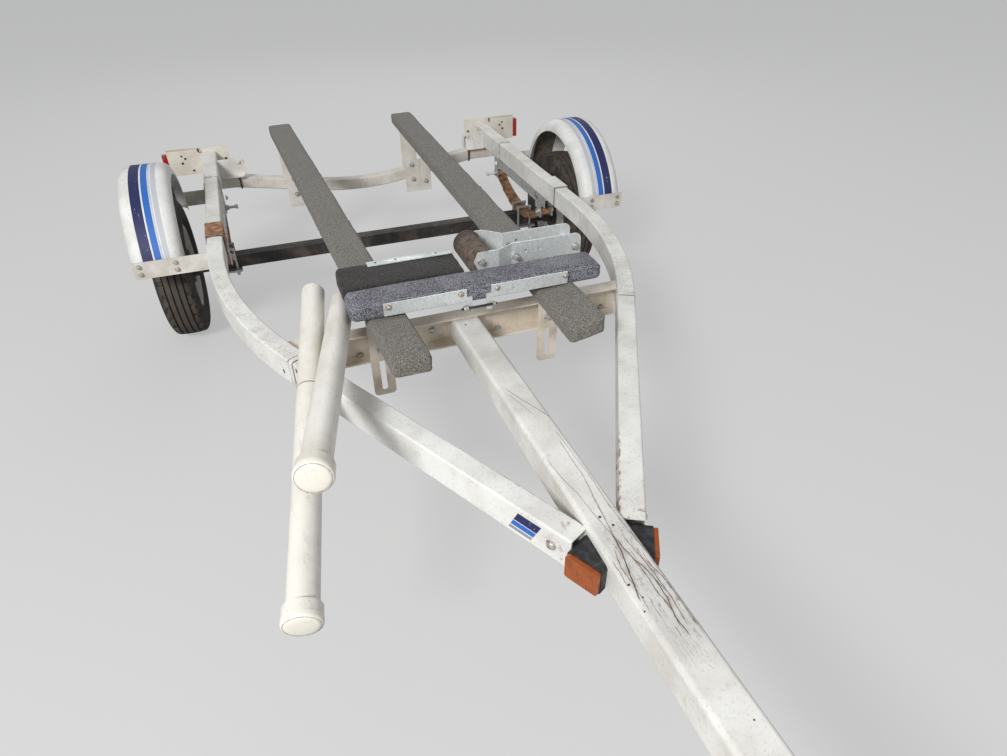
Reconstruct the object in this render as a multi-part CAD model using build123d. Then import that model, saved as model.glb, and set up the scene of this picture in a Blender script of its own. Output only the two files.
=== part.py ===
from build123d import *
from math import asin, cos, degrees, radians, sin, sqrt, tan
import os

# Single-axle boat trailer with a V-shaped tube frame, carpeted bunks and a tongue jack.
# +X is the trailer's right, +Y its rear, +Z up. The wheels and the jack's wheel stand on z = 0.

# Overall
overall_length = 4400.0
rail_top = 543.0
contact_gap = 0.3
running_gap = 0.05

# Main rails: straight tubes, each with a larger tail sleeve behind and a bent tube in front
rail_centre_x = 648.0
rail_width = 50.8
rail_height = 76.2
rail_wall = 3.2
rail_corner = 5.0
rail_length = 515.0
tail_length = 350.0
tail_wall = 3.8
light_depth = 35.0
collar_wall = 4.0
collar_length = 124.0

# Bent tubes and the straight arms that close the V on the tongue
bend_start = 269.0
bend_radius = 1500.0
bend_angle = 28.0
arm_end_x = 55.0

# Tongue
tongue_width = 76.2
tongue_height = 76.2
tongue_wall = 3.2
tongue_corner = 10.0
tongue_rise = 2.2
tongue_pivot_from_collar = 1740.0
tongue_above_rail = 8.0

# Front crossmember: a channel that opens forward round the tongue's rear end
front_member_height = 90.0
front_member_flange = 40.0
front_member_wall = 5.0
front_member_drop = 18.0
front_member_from_collar = 873.0

# Rear crossmember: a square tube that dips in its middle
rear_member_size = 50.8
rear_member_wall = 3.2
rear_member_from_tail_end = 105.0
rear_member_half_length = 680.0
rear_member_shoulder_x = 560.0
rear_member_dip = 95.0
rear_member_shoulder_radius = 300.0
rear_member_bottom_radius = 1200.0

# Wheels, axle and springs
tyre_radius = 268.0
tyre_width = 138.0
tyre_beyond_axle = 90.0
rim_radius = 158.0
rim_seat_radius = 152.4
rim_width = 112.0
rim_wall = 3.5
rim_lip = 10.0
bead_seat = 22.0
well_slope = 8.0
well_depth = 12.0
well_wall = 4.0
disc_offset = 18.0
disc_wall = 5.0
disc_bore_gap = 0.5
disc_flat = 12.0
disc_shoulder = 60.0
disc_weld_inset = 14.0
bead_wall = 14.0
stud_circle = 101.6
stud_count = 4
first_stud_angle = 45.0
stud_radius = 6.0
stud_past_nut = 6.0
nut_radius = 11.0
nut_height = 12.0
hub_radius = 42.0
hub_length = 76.0
hub_past_axle = 6.0
hub_flange_inset = 30.0
hub_flange_radius = 66.0
hub_flange_wall = 9.0
cap_radius = 25.0
cap_length = 40.0
spindle_radius = 15.9
axle_size = 50.8
axle_from_collar = 290.0
axle_half_length = 753.0
hanger_front = 30.0
hanger_length = 604.0
hanger_depth = 34.0
hanger_width = 56.0
hanger_wall = 4.0
spring_width = 44.0
leaf_wall = 7.5
leaf_count = 3
leaf_step = 75.0
spring_eye_radius = 16.0
spring_bolt_radius = 7.0
spring_half_span = 262.0
spring_eye_drop = 150.0
u_bolt_radius = 5.5
bridge_lift = 1.6
spring_plate_length = 110.0
spring_plate_width = 92.0
spring_plate_wall = 8.0

# Fenders
fender_radius = 330.0
fender_above_rail = 158.0
fender_before_axle = 85.0
fender_inner_x = 762.0
fender_width = 172.0
fender_wall = 2.0
fender_end_drop = 115.0
fender_edge_radius = 38.0
fender_lip = 43.0
bracket_height = 60.0
bracket_wall = 5.0
bracket_inset = 8.0
bracket_foot = 60.0
bracket_foot_rise = 50.0

# Rear light plates and lamps
plate_inner_x = 566.0
plate_outer_x = 826.0
plate_above_rail = 22.0
plate_height = 112.0
plate_wall = 3.0
plate_lip = 16.0
tail_lamp_width = 76.0
tail_lamp_height = 96.0
tail_lamp_depth = 32.0

# Carpeted bunks on their brackets
bunk_width = 97.0
bunk_height = 46.0
bunk_corner = 8.0
bunk_top = 95.0
bunk_front_x = 222.0
bunk_rear_x = 283.0
bunk_front_shift = 4.0
bunk_rear_shift = 42.0
bunk_front_from_collar = 1235.0
bunk_rear_from_tail_end = 15.0
angle_wall = 5.0
rear_angle_width = 70.0
rear_plate_width = 125.0
rear_plate_outset = 38.0
rear_plate_above = 30.0
rear_plate_below = 75.0
front_strap_x = 250.0
front_strap_width = 62.0
front_strap_wall = 5.0
front_strap_drop = 268.0
front_shelf = 55.0
front_slot_width = 16.0
front_slot_length = 105.0
front_slot_margin = 14.0
front_strap_corner = 12.0

# Cross pads on top of the bunks, with galvanised angles
near_pad_left = 330.0
near_pad_right = 352.0
near_pad_depth = 96.0
near_pad_height = 44.0
near_pad_from_collar = 988.0
far_pad_left = 330.0
far_pad_right = 0.0
far_pad_depth = 140.0
far_pad_height = 40.0
far_pad_from_near = 4.0
pad_corner = 8.0
pad_angle_length = 214.0
pad_angle_leg = 34.0
pad_angle_rise = 8.0
pad_angle_wall = 3.5
pad_angle_gap = 66.0
pad_ear_width = 14.0
pad_ear_drop = 34.0

# Roller arm: two galvanised straps with a ribbed roller between their flared ends
strap_height = 78.0
strap_wall = 4.0
strap_corner = 18.0
strap_gap = 68.0
strap_outer_x = 352.0
strap_bend_x = 142.0
ear_bend_x = 97.0
ear_end_x = 26.0
ear_clip = 12.0
ear_low = 25.0
near_flare = 23.0
far_flare = 42.0
strap_hole_radius = 8.0
end_hole_inset = 17.0
bend_hole_offset = 18.0
row_hole_radius = 5.0
row_hole_offsets = (42.0, 84.0)
row_hole_lift = 12.0
pin_lift = 12.0
roller_end_gap = 3.5
roller_radius = 39.0
roller_core = 33.0
roller_bolt_radius = 6.5
bolt_reach = 8.0
roller_gap = 12.0
rib_count = 10
rib_share = 0.6
arm_from_collar = 860.0

# Guide poles
pole_radius = 30.15
pole_wall = 3.9
pole_cap_radius = 36.5
pole_cap_length = 28.0
pole_cap_end = 8.0
outer_pole_far = (-392.0, -791.0, 73.0)
outer_pole_near = (-556.0, -1719.0, -63.0)
inner_pole_far = (-324.5, -848.0, 60.0)
inner_pole_near = (-486.0, -1568.0, 122.0)

# Side lamps at the front ends of the arms
side_lamp_length = 76.0
side_lamp_height = 60.0
side_lamp_depth = 52.0
side_lamp_drop = 9.0
side_lamp_reach = 38.0
side_lamp_gap = 1.5
side_lens_depth = 9.0
side_lens_inset = 2.0
side_lamp_corner = 6.0

# Ball coupler
coupler_wall = 4.0
coupler_length = 240.0
ball_radius = 25.4
ball_clearance = 0.6
socket_lip = 28.0
dome_radius = 38.0
latch_pin_radius = 5.0
latch_length = 105.0
latch_width = 22.0
latch_wall = 6.0

# Tongue jack
jack_behind_ball = 561.0
jack_plate_length = 120.0
jack_plate_height = 76.0
jack_plate_wall = 6.0
jack_boss_radius = 24.0
jack_boss_length = 10.0
jack_pivot_radius = 16.0
jack_flange_radius = 46.0
jack_flange_wall = 6.0
jack_tube_radius = 25.4
jack_leg_radius = 21.8
jack_leg_wall = 3.0
tube_bite = 2.0
jack_cap_height = 26.0
jack_cap_lip = 4.0
jack_cap_wall = 8.0
jack_tube_below = 225.0
jack_tube_above = 330.0
jack_leg_inside = 180.0
jack_wheel_radius = 76.0
jack_wheel_width = 40.0
jack_wheel_gap = 6.0
jack_trail = 28.0
jack_axle_radius = 6.0
jack_fork_wall = 5.0
jack_fork_half_depth = 18.0
jack_stem_radius = 9.0
jack_stem_length = 40.0
jack_leg_plug = 60.0
crank_boss_radius = 9.0
crank_boss_height = 14.0
crank_rise = 10.0
crank_length = 150.0
crank_radius = 6.0
grip_radius = 13.0
grip_length = 85.0

# Places worked out from the sizes above
rear_y = overall_length / 2
front_y = -overall_length / 2
tail_end_y = rear_y - light_depth
joint_y = tail_end_y - tail_length
collar_y = joint_y - rail_length
axle_y = collar_y + axle_from_collar
rail_bottom = rail_top - rail_height
tyre_centre_x = axle_half_length + tyre_beyond_axle


def box_between(low, high):
    size = [b - a for a, b in zip(low, high)]
    centre = [(a + b) / 2 for a, b in zip(low, high)]
    return Pos(*centre) * Box(*size)


def rod(start, end, radius):
    axis = Vector(*end) - Vector(*start)
    plane = Plane(origin=start, z_dir=axis)
    return extrude(plane * Circle(radius), axis.length)


def tube_section(width, height, wall, corner):
    outer = RectangleRounded(width, height, corner)
    inner = RectangleRounded(width - 2 * wall, height - 2 * wall, max(corner - wall, 1.0))
    return outer - inner


def tube_along(start, direction, length, width, height, wall, corner):
    # A level rectangular tube whose top face is at the start point's height
    plane = Plane(origin=start, x_dir=Vector(0, 0, 1).cross(Vector(*direction)), z_dir=direction)
    lowered = plane * Pos(0, -height / 2 if plane.y_dir.Z > 0 else height / 2)
    return extrude(lowered * tube_section(width, height, wall, corner), length)


def mirrored(shape):
    return mirror(shape, about=Plane.YZ)


def both_sides(shape):
    return Compound([shape, mirrored(shape)])


nodes = {}


def add_pair(name, shape):
    nodes[name + "_right"] = shape
    nodes[name + "_left"] = mirrored(shape)


# Straight rail and its tail sleeve
rail_start = (rail_centre_x, collar_y, rail_top)
rail = tube_along(rail_start, (0, 1, 0), rail_length + tail_length,
                  rail_width, rail_height, rail_wall, rail_corner)

tail_width = rail_width + 2 * tail_wall
tail_height = rail_height + 2 * tail_wall
tail_start = (rail_centre_x, joint_y, rail_top + tail_wall)
rail += tube_along(tail_start, (0, 1, 0), tail_length,
                   tail_width, tail_height, tail_wall, rail_corner + tail_wall)
add_pair("rail", rail)

# Bent tube: a straight start, then one arc towards the tongue
bend_y = collar_y - bend_start
turn = radians(bend_angle)
bend_centre_x = rail_centre_x - bend_radius
arc_end = (bend_centre_x + bend_radius * cos(turn), bend_y - bend_radius * sin(turn))
mid_rail = rail_top - rail_height / 2
bend_path = Line((rail_centre_x, collar_y, mid_rail), (rail_centre_x, bend_y, mid_rail))
bend_path += RadiusArc((rail_centre_x, bend_y, mid_rail), (*arc_end, mid_rail), bend_radius)
bend_plane = Plane(origin=(rail_centre_x, collar_y, mid_rail), x_dir=(1, 0, 0), z_dir=(0, -1, 0))
bend_section = bend_plane * tube_section(rail_width, rail_height, rail_wall, rail_corner)
bent_tube = sweep(bend_section, path=bend_path)

# Saddle collar over the joint of the rail and the bent tube
collar_inner = rail_width / 2
collar_low = rail_bottom + 8.0
collar_outer = box_between(
    (rail_centre_x - collar_inner - collar_wall, collar_y - collar_length, collar_low),
    (rail_centre_x + collar_inner + collar_wall, collar_y, rail_top + collar_wall))
collar_room = box_between(
    (rail_centre_x - collar_inner, collar_y - collar_length - 1, collar_low - 1),
    (rail_centre_x + collar_inner, collar_y + 1, rail_top))
add_pair("bent_tube", bent_tube + (collar_outer - collar_room))

# Arm from the bent tube to the tongue's side
arm_direction = (-sin(turn), -cos(turn), 0)
arm_length = (arc_end[0] - arm_end_x) / sin(turn)
arm = tube_along((*arc_end, rail_top), arm_direction, arm_length,
                 rail_width, rail_height, rail_wall, rail_corner)
tongue_side = tongue_width / 2
pivot_y = collar_y - tongue_pivot_from_collar
tongue_room = box_between((-tongue_side - contact_gap, front_y, 0),
                          (tongue_side + contact_gap, rear_y, 2 * rail_top))
arm_right = arm - tongue_room
add_pair("arm", arm_right)

# Tongue, laid out level from its pivot and then tipped up towards the front
pivot_z = rail_top + tongue_above_rail
tip_up = Pos(0, pivot_y, pivot_z) * Rot(-tongue_rise, 0, 0)
rise = radians(tongue_rise)
ball_y = front_y + dome_radius + ball_radius * sin(rise)
ball_drop = tongue_height / 2
ball_ahead = (pivot_y - ball_y - ball_drop * sin(rise)) / cos(rise)
coupler_start = ball_ahead - ball_radius - 22.0
coupler_overlap = coupler_length - dome_radius - (ball_ahead - coupler_start)
web_y = collar_y - front_member_from_collar
tongue_behind = (web_y - pivot_y) / cos(rise) + tongue_height
tongue_level = tube_along((0, -coupler_start, 0), (0, 1, 0), coupler_start + tongue_behind,
                          tongue_width, tongue_height, tongue_wall, tongue_corner)
behind_web = box_between((-tongue_width, web_y - contact_gap, 0),
                         (tongue_width, web_y + overall_length / 4, 2 * rail_top))
nodes["tongue"] = tip_up * tongue_level - behind_web

# Front crossmember
member_front_y = web_y - front_member_flange
member_rear_y = web_y + front_member_wall
bend_inner = bend_radius - rail_width / 2 - contact_gap
front_member_half_length = bend_centre_x + sqrt(bend_inner ** 2 - (bend_y - member_rear_y) ** 2)
member_top = rail_top - front_member_drop
member_low = (-front_member_half_length, member_front_y, member_top - front_member_height)
member_high = (front_member_half_length, member_rear_y, member_top)
member_room_low = (-front_member_half_length - 1, member_front_y - 1,
                   member_low[2] + front_member_wall)
member_room_high = (front_member_half_length + 1, web_y, member_top - front_member_wall)
front_member = box_between(member_low, member_high) - box_between(member_room_low, member_room_high)
# Its ends are cut to the curve of the bent tubes' inner sides
between_bends = rod((bend_centre_x, bend_y, 0), (bend_centre_x, bend_y, rail_top), bend_inner)
nodes["front_crossmember"] = front_member & between_bends & mirrored(between_bends)

# Rear crossmember, clamped under the tail sleeves
rear_member_y = tail_end_y - rear_member_from_tail_end
rear_member_top = rail_bottom - tail_wall - contact_gap
rear_mid_z = rear_member_top - rear_member_size / 2
rear_points = [(-rear_member_half_length, 0), (-rear_member_shoulder_x, 0), (0, -rear_member_dip),
               (rear_member_shoulder_x, 0), (rear_member_half_length, 0)]
rear_path = FilletPolyline(
    *[(x, rear_member_y, rear_mid_z + z) for x, z in rear_points],
    radius=[rear_member_shoulder_radius, rear_member_bottom_radius, rear_member_shoulder_radius])
rear_plane = Plane(origin=(-rear_member_half_length, rear_member_y, rear_mid_z),
                   x_dir=(0, 1, 0), z_dir=(1, 0, 0))
rear_section = rear_plane * tube_section(rear_member_size, rear_member_size, rear_member_wall, 6.0)
nodes["rear_crossmember"] = sweep(rear_section, path=rear_path)

# Axle beam with its spindles
axle_z = tyre_radius
beam = box_between((-axle_half_length, axle_y - axle_size / 2, axle_z - axle_size / 2),
                   (axle_half_length, axle_y + axle_size / 2, axle_z + axle_size / 2))
hub_inner_x = axle_half_length + hub_past_axle
spindle_end_x = hub_inner_x + hub_length - hub_past_axle
spindle = rod((-spindle_end_x, axle_y, axle_z), (spindle_end_x, axle_y, axle_z), spindle_radius)
nodes["axle"] = beam + spindle

# Hub with flange, studs and bearing cap; rim and tyre
hub = rod((hub_inner_x, axle_y, axle_z), (hub_inner_x + hub_length, axle_y, axle_z), hub_radius)
flange_x = hub_inner_x + hub_flange_inset
hub += rod((flange_x, axle_y, axle_z), (flange_x + hub_flange_wall, axle_y, axle_z), hub_flange_radius)
hub += rod((hub_inner_x + hub_length, axle_y, axle_z),
           (hub_inner_x + hub_length + cap_length, axle_y, axle_z), cap_radius)
disc_x = flange_x + hub_flange_wall
nut_end_x = disc_x + disc_wall + nut_height
stud_places = []
for index in range(stud_count):
    angle = radians(first_stud_angle + index * 360 / stud_count)
    stud_places.append((axle_y + stud_circle / 2 * cos(angle), axle_z + stud_circle / 2 * sin(angle)))
for stud_y, stud_z in stud_places:
    hub += rod((flange_x, stud_y, stud_z), (nut_end_x + stud_past_nut, stud_y, stud_z), stud_radius)
    hub += rod((disc_x + disc_wall + contact_gap / 3, stud_y, stud_z), (nut_end_x, stud_y, stud_z), nut_radius)
hub -= rod((hub_inner_x - 1, axle_y, axle_z), (spindle_end_x + 2, axle_y, axle_z),
           spindle_radius + running_gap)
add_pair("hub", hub)


def ring(points, centre_x):
    # A closed outline of (x from the wheel's middle, radius) turned about the axle line
    outline = make_face(Polyline(*[(centre_x + x, axle_y, axle_z + r) for x, r in points], close=True))
    return revolve(outline, Axis((centre_x, axle_y, axle_z), (1, 0, 0)), 360)


half_rim = rim_width / 2
lip_radius = rim_radius + rim_lip
seat_inside = rim_seat_radius - rim_wall
well_radius = rim_seat_radius - well_depth
well_inside = well_radius - well_wall
seat_end = half_rim - bead_seat
well_end = seat_end - well_slope
# x from the wheel's middle, radius: along the inside from left to right, then back along the outside
rim_outline = [(-half_rim, lip_radius), (-half_rim, seat_inside), (-seat_end, seat_inside),
               (-well_end, well_inside), (well_end, well_inside), (seat_end, seat_inside),
               (half_rim, seat_inside), (half_rim, lip_radius), (half_rim - rim_wall, lip_radius),
               (half_rim - rim_wall, rim_seat_radius), (seat_end - 2, rim_seat_radius),
               (well_end - 2, well_radius), (2 - well_end, well_radius), (2 - seat_end, rim_seat_radius),
               (rim_wall - half_rim, rim_seat_radius), (rim_wall - half_rim, lip_radius)]
rim = ring(rim_outline, tyre_centre_x)
disc_inner = disc_x - tyre_centre_x
disc_outer = disc_inner + disc_offset
disc_bore = hub_radius + disc_bore_gap
disc_flat_end = hub_flange_radius + disc_flat
disc_shoulder_radius = rim_seat_radius - disc_shoulder
disc_edge_radius = rim_seat_radius - disc_weld_inset
disc_outline = [(disc_inner, disc_bore), (disc_inner, disc_flat_end),
                (disc_outer, disc_shoulder_radius), (disc_outer, disc_edge_radius),
                (disc_outer + disc_wall, disc_edge_radius), (disc_outer + disc_wall, disc_shoulder_radius - 2),
                (disc_inner + disc_wall, disc_flat_end - 4), (disc_inner + disc_wall, disc_bore)]
wheel_disc = ring(disc_outline, tyre_centre_x)
for stud_y, stud_z in stud_places:
    wheel_disc -= rod((disc_x - disc_wall, stud_y, stud_z), (disc_x + hub_flange_inset, stud_y, stud_z),
                      stud_radius + contact_gap)
add_pair("wheel", rim + wheel_disc)

half_tyre = tyre_width / 2
bead_x = half_rim - rim_wall - contact_gap
bead_radius = rim_seat_radius + contact_gap
widest_radius = (rim_radius + tyre_radius) / 2
# x from the tyre's middle, radius: half of the outside from the bead up, then half of the inside
outside = [(bead_x, bead_radius), (bead_x, lip_radius + 1), (half_tyre - 6, rim_radius + 26),
           (half_tyre, widest_radius), (half_tyre - 8, tyre_radius - 26), (half_tyre - 24, tyre_radius - 6),
           (half_tyre - 40, tyre_radius)]
inside = [(half_tyre - 30, tyre_radius - 20), (half_tyre - 14, widest_radius),
          (half_tyre - 20, rim_radius + 30), (bead_x - bead_wall, bead_radius)]
tyre_outline = [(-x, r) for x, r in outside] + outside[::-1] + inside[::-1] + [(-x, r) for x, r in inside]
add_pair("tyre", ring(tyre_outline, tyre_centre_x))

# Spring hanger: an inverted channel under the rail with ears for the eye bolts
hanger_low_y = collar_y - hanger_front
hanger_top = rail_bottom - tail_wall - contact_gap
hanger_outer = box_between((rail_centre_x - hanger_width / 2, hanger_low_y, hanger_top - hanger_depth),
                           (rail_centre_x + hanger_width / 2, hanger_low_y + hanger_length, hanger_top))
hanger_room = box_between(
    (rail_centre_x - hanger_width / 2 + hanger_wall, hanger_low_y - 1, hanger_top - hanger_depth - 1),
    (rail_centre_x + hanger_width / 2 - hanger_wall, hanger_low_y + hanger_length + 1,
     hanger_top - hanger_wall))
hanger = hanger_outer - hanger_room
hanger += box_between((rail_centre_x - hanger_width / 2, hanger_low_y, hanger_top - 1),
                      (rail_centre_x + hanger_width / 2, joint_y - contact_gap, rail_bottom - contact_gap))
eye_z = rail_top - spring_eye_drop
eye_ys = (axle_y - spring_half_span, axle_y + spring_half_span)
for eye_y in eye_ys:
    for side in (-1, 1):
        ear_x = rail_centre_x + side * (hanger_width / 2 - hanger_wall / 2)
        hanger += box_between((ear_x - hanger_wall / 2, eye_y - 22, eye_z - 20),
                              (ear_x + hanger_wall / 2, eye_y + 22, hanger_top - hanger_wall))
    hanger += rod((rail_centre_x - hanger_width / 2 - 8, eye_y, eye_z),
                  (rail_centre_x + hanger_width / 2 + 8, eye_y, eye_z), spring_bolt_radius)
add_pair("spring_hanger", hanger)

# Leaf spring: stacked arcs of falling length, rolled eyes, seat plate and U-bolts round the axle
seat_z = axle_z + axle_size / 2 + contact_gap
stack = leaf_count * leaf_wall
main_mid_z = seat_z + stack - leaf_wall / 2
sag = eye_z - spring_eye_radius - main_mid_z
leaf_radius = (spring_half_span ** 2 + sag ** 2) / (2 * sag)
leaf_centre_z = main_mid_z + leaf_radius
spring = None
for index in range(leaf_count):
    half_span = spring_half_span - index * leaf_step
    outer_radius = leaf_radius + leaf_wall / 2 + index * leaf_wall
    disc = rod((rail_centre_x - spring_width / 2, axle_y, leaf_centre_z),
               (rail_centre_x + spring_width / 2, axle_y, leaf_centre_z), outer_radius)
    disc -= rod((rail_centre_x - spring_width, axle_y, leaf_centre_z),
                (rail_centre_x + spring_width, axle_y, leaf_centre_z), outer_radius - leaf_wall)
    window = box_between((rail_centre_x - spring_width, axle_y - half_span, seat_z - 10),
                         (rail_centre_x + spring_width, axle_y + half_span, eye_z))
    leaf = disc & window
    spring = leaf if spring is None else spring + leaf
for eye_y in eye_ys:
    spring += rod((rail_centre_x - spring_width / 2, eye_y, eye_z),
                  (rail_centre_x + spring_width / 2, eye_y, eye_z), spring_eye_radius)
for eye_y in eye_ys:
    spring -= rod((rail_centre_x - spring_width, eye_y, eye_z),
                  (rail_centre_x + spring_width, eye_y, eye_z), spring_bolt_radius + running_gap)
add_pair("leaf_spring", spring)

plate_top = axle_z - axle_size / 2 - contact_gap
clamp = box_between((rail_centre_x - spring_plate_width / 2, axle_y - spring_plate_length / 2,
                     plate_top - spring_plate_wall),
                    (rail_centre_x + spring_plate_width / 2, axle_y + spring_plate_length / 2, plate_top))
bolt_x = spring_width / 2 + contact_gap + u_bolt_radius
bolt_y = axle_size / 2 + contact_gap + u_bolt_radius
bridge_z = seat_z + stack + bridge_lift + u_bolt_radius
for side_y in (-1, 1):
    for side_x in (-1, 1):
        leg_x = rail_centre_x + side_x * bolt_x
        leg_y = axle_y + side_y * bolt_y
        leg_foot = plate_top - spring_plate_wall - 22
        clamp += rod((leg_x, leg_y, leg_foot), (leg_x, leg_y, bridge_z), u_bolt_radius)
        clamp += rod((leg_x, leg_y, plate_top - spring_plate_wall - 11),
                     (leg_x, leg_y, plate_top - spring_plate_wall), 9.0)
    clamp += rod((rail_centre_x - bolt_x - u_bolt_radius, axle_y + side_y * bolt_y, bridge_z),
                 (rail_centre_x + bolt_x + u_bolt_radius, axle_y + side_y * bolt_y, bridge_z), u_bolt_radius)
add_pair("axle_clamp", clamp)

# Fender: a rolled strip over the wheel with turned-down inner and outer lips
fender_outer_x = fender_inner_x + fender_width
fender_y = axle_y - fender_before_axle
fender_top = rail_top + fender_above_rail
fender_centre_z = fender_top - fender_radius
fender_end_z = rail_top - fender_end_drop


def fender_solid(grow):
    shape = rod((fender_inner_x + grow, fender_y, fender_centre_z),
                (fender_outer_x - grow, fender_y, fender_centre_z), fender_radius - grow)
    rims = shape.edges().filter_by(GeomType.CIRCLE)
    return fillet(rims, fender_edge_radius - grow)


fender = fender_solid(0) - fender_solid(fender_wall)
fender -= rod((fender_inner_x - fender_wall, fender_y, fender_centre_z),
              (fender_outer_x + fender_wall, fender_y, fender_centre_z),
              fender_radius - fender_lip - fender_wall)
fender &= box_between((fender_inner_x, fender_y - fender_radius, fender_end_z),
                      (fender_outer_x, fender_y + fender_radius, fender_top))
add_pair("fender", fender)

# Fender brackets: flat plates across the wheel's front and back, welded to the rail side
bracket_reach = sqrt(fender_radius ** 2 - (fender_end_z - fender_centre_z) ** 2) + contact_gap
bracket_inner_x = rail_centre_x + collar_inner + collar_wall + contact_gap
bracket_outer_x = fender_outer_x - bracket_inset
foot_low = fender_end_z + bracket_wall
foot_high = rail_bottom + bracket_foot_rise
front_bracket_y = fender_y - bracket_reach
front_bracket = box_between((bracket_inner_x, front_bracket_y - bracket_wall, fender_end_z),
                            (bracket_outer_x, front_bracket_y, fender_end_z + bracket_height))
front_bracket += box_between((bracket_inner_x, front_bracket_y - bracket_wall, foot_low),
                             (bracket_inner_x + bracket_wall, front_bracket_y + bracket_foot, foot_high))
add_pair("fender_bracket_front", front_bracket)
rear_bracket_y = fender_y + bracket_reach
rear_bracket = box_between((bracket_inner_x, rear_bracket_y, fender_end_z),
                           (bracket_outer_x, rear_bracket_y + bracket_wall, fender_end_z + bracket_height))
rear_bracket += box_between((bracket_inner_x, rear_bracket_y - bracket_foot, foot_low),
                            (bracket_inner_x + bracket_wall, rear_bracket_y + bracket_wall, foot_high))
add_pair("fender_bracket_rear", rear_bracket)

# Light plate across the tail sleeve's end, with a turned top lip, and its lamp
plate_top_z = rail_top + plate_above_rail
light_plate = box_between((plate_inner_x, tail_end_y + contact_gap, plate_top_z - plate_height),
                          (plate_outer_x, tail_end_y + contact_gap + plate_wall, plate_top_z))
light_plate += box_between((plate_inner_x, tail_end_y + contact_gap, plate_top_z - plate_wall),
                           (plate_outer_x, tail_end_y + contact_gap + plate_lip, plate_top_z))
add_pair("light_plate", light_plate)
lamp_y = tail_end_y + contact_gap + plate_wall + contact_gap
tail_lamp = box_between((plate_outer_x - tail_lamp_width + 22, lamp_y, plate_top_z - 10 - tail_lamp_height),
                        (plate_outer_x + 22, rear_y, plate_top_z - 20))
add_pair("tail_lamp", tail_lamp)

# Bunks: carpeted boards that converge forward
bunk_rear_y = tail_end_y - bunk_rear_from_tail_end
bunk_front_y = collar_y - bunk_front_from_collar
bunk_mid_y = (bunk_rear_y + bunk_front_y) / 2
bunk_mid_z = rail_top + bunk_top - bunk_height / 2
bunk_bottom = rail_top + bunk_top - bunk_height - contact_gap
bunk_profile = Plane.XZ * RectangleRounded(bunk_width, bunk_height, bunk_corner)


def bunk_x(side, y):
    # Middle line of the bunk on the right (side 1) or on the left (side -1)
    front = side * bunk_front_x - bunk_front_shift
    rear = side * bunk_rear_x - bunk_rear_shift
    return front + (rear - front) * (y - bunk_front_y) / (bunk_rear_y - bunk_front_y)


# Rear bunk brackets stand on the front of the rear crossmember
rear_angle_y = rear_member_y - rear_member_size / 2 - contact_gap
for side, label in ((1, "right"), (-1, "left")):
    spread = bunk_x(side, bunk_rear_y) - bunk_x(side, bunk_front_y)
    bunk_yaw = degrees(asin(spread / (bunk_rear_y - bunk_front_y)))
    bunk_length = (bunk_rear_y - bunk_front_y) / cos(radians(bunk_yaw))
    bunk_place = Pos(bunk_x(side, bunk_mid_y), bunk_mid_y, bunk_mid_z) * Rot(0, 0, -bunk_yaw)
    nodes["bunk_" + label] = bunk_place * extrude(bunk_profile, bunk_length / 2, both=True)
    angle_x = bunk_x(side, rear_angle_y)
    plate_mid_x = angle_x + rear_plate_outset
    dip = rear_member_dip * (rear_member_shoulder_x - abs(plate_mid_x)) / rear_member_shoulder_x
    tube_top = rear_member_top - dip
    angle = box_between((angle_x - rear_angle_width / 2, rear_angle_y - angle_wall, tube_top),
                        (angle_x + rear_angle_width / 2, rear_angle_y, bunk_bottom))
    angle += box_between((angle_x - rear_angle_width / 2, rear_angle_y - rear_angle_width,
                          bunk_bottom - angle_wall),
                         (angle_x + rear_angle_width / 2, rear_angle_y, bunk_bottom))
    angle += box_between((plate_mid_x - rear_plate_width / 2, rear_angle_y - angle_wall,
                          tube_top - rear_member_size - rear_plate_below),
                         (plate_mid_x + rear_plate_width / 2, rear_angle_y, tube_top + rear_plate_above))
    nodes["bunk_bracket_rear_" + label] = angle

# Front bunk brackets: slotted straps across the crossmember's open front
strap_y = member_front_y - contact_gap
front_strap_bottom = bunk_bottom - front_strap_drop
strap_low_x = front_strap_x - front_strap_width / 2
strap_high_x = front_strap_x + front_strap_width / 2
front_strap = box_between((strap_low_x, strap_y - front_strap_wall, front_strap_bottom),
                          (strap_high_x, strap_y, bunk_bottom))
foot_corners = front_strap.edges().filter_by(Axis.Y).group_by(Axis.Z)[0]
front_strap = fillet(foot_corners, front_strap_corner)
front_strap += box_between((strap_low_x, strap_y - front_shelf, bunk_bottom - front_strap_wall),
                           (strap_high_x, strap_y, bunk_bottom))
slot_end = front_slot_width / 2
slot_low = front_strap_bottom + front_slot_margin + slot_end
slot_high = slot_low + front_slot_length - front_slot_width
front_strap -= box_between((front_strap_x - slot_end, strap_y - front_shelf, slot_low),
                           (front_strap_x + slot_end, strap_y + 1, slot_high))
for z in (slot_low, slot_high):
    front_strap -= rod((front_strap_x, strap_y - front_shelf, z), (front_strap_x, strap_y + 1, z), slot_end)
nodes["bunk_brackets_front"] = both_sides(front_strap)


# Cross pads: carpeted boards lying across both bunks
def pad(centre_y, left, right, depth, height):
    bottom = rail_top + bunk_top + contact_gap
    section = Plane(origin=(-left, centre_y, bottom + height / 2), x_dir=(0, 1, 0), z_dir=(1, 0, 0))
    return extrude(section * RectangleRounded(depth, height, pad_corner), left + right)


near_pad_y = collar_y - near_pad_from_collar
nodes["cross_pad_front"] = pad(near_pad_y, near_pad_left, near_pad_right, near_pad_depth,
                               near_pad_height)
far_pad_y = near_pad_y + near_pad_depth / 2 + far_pad_from_near + far_pad_depth / 2
nodes["cross_pad_rear"] = pad(far_pad_y, far_pad_left, far_pad_right, far_pad_depth, far_pad_height)

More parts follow.
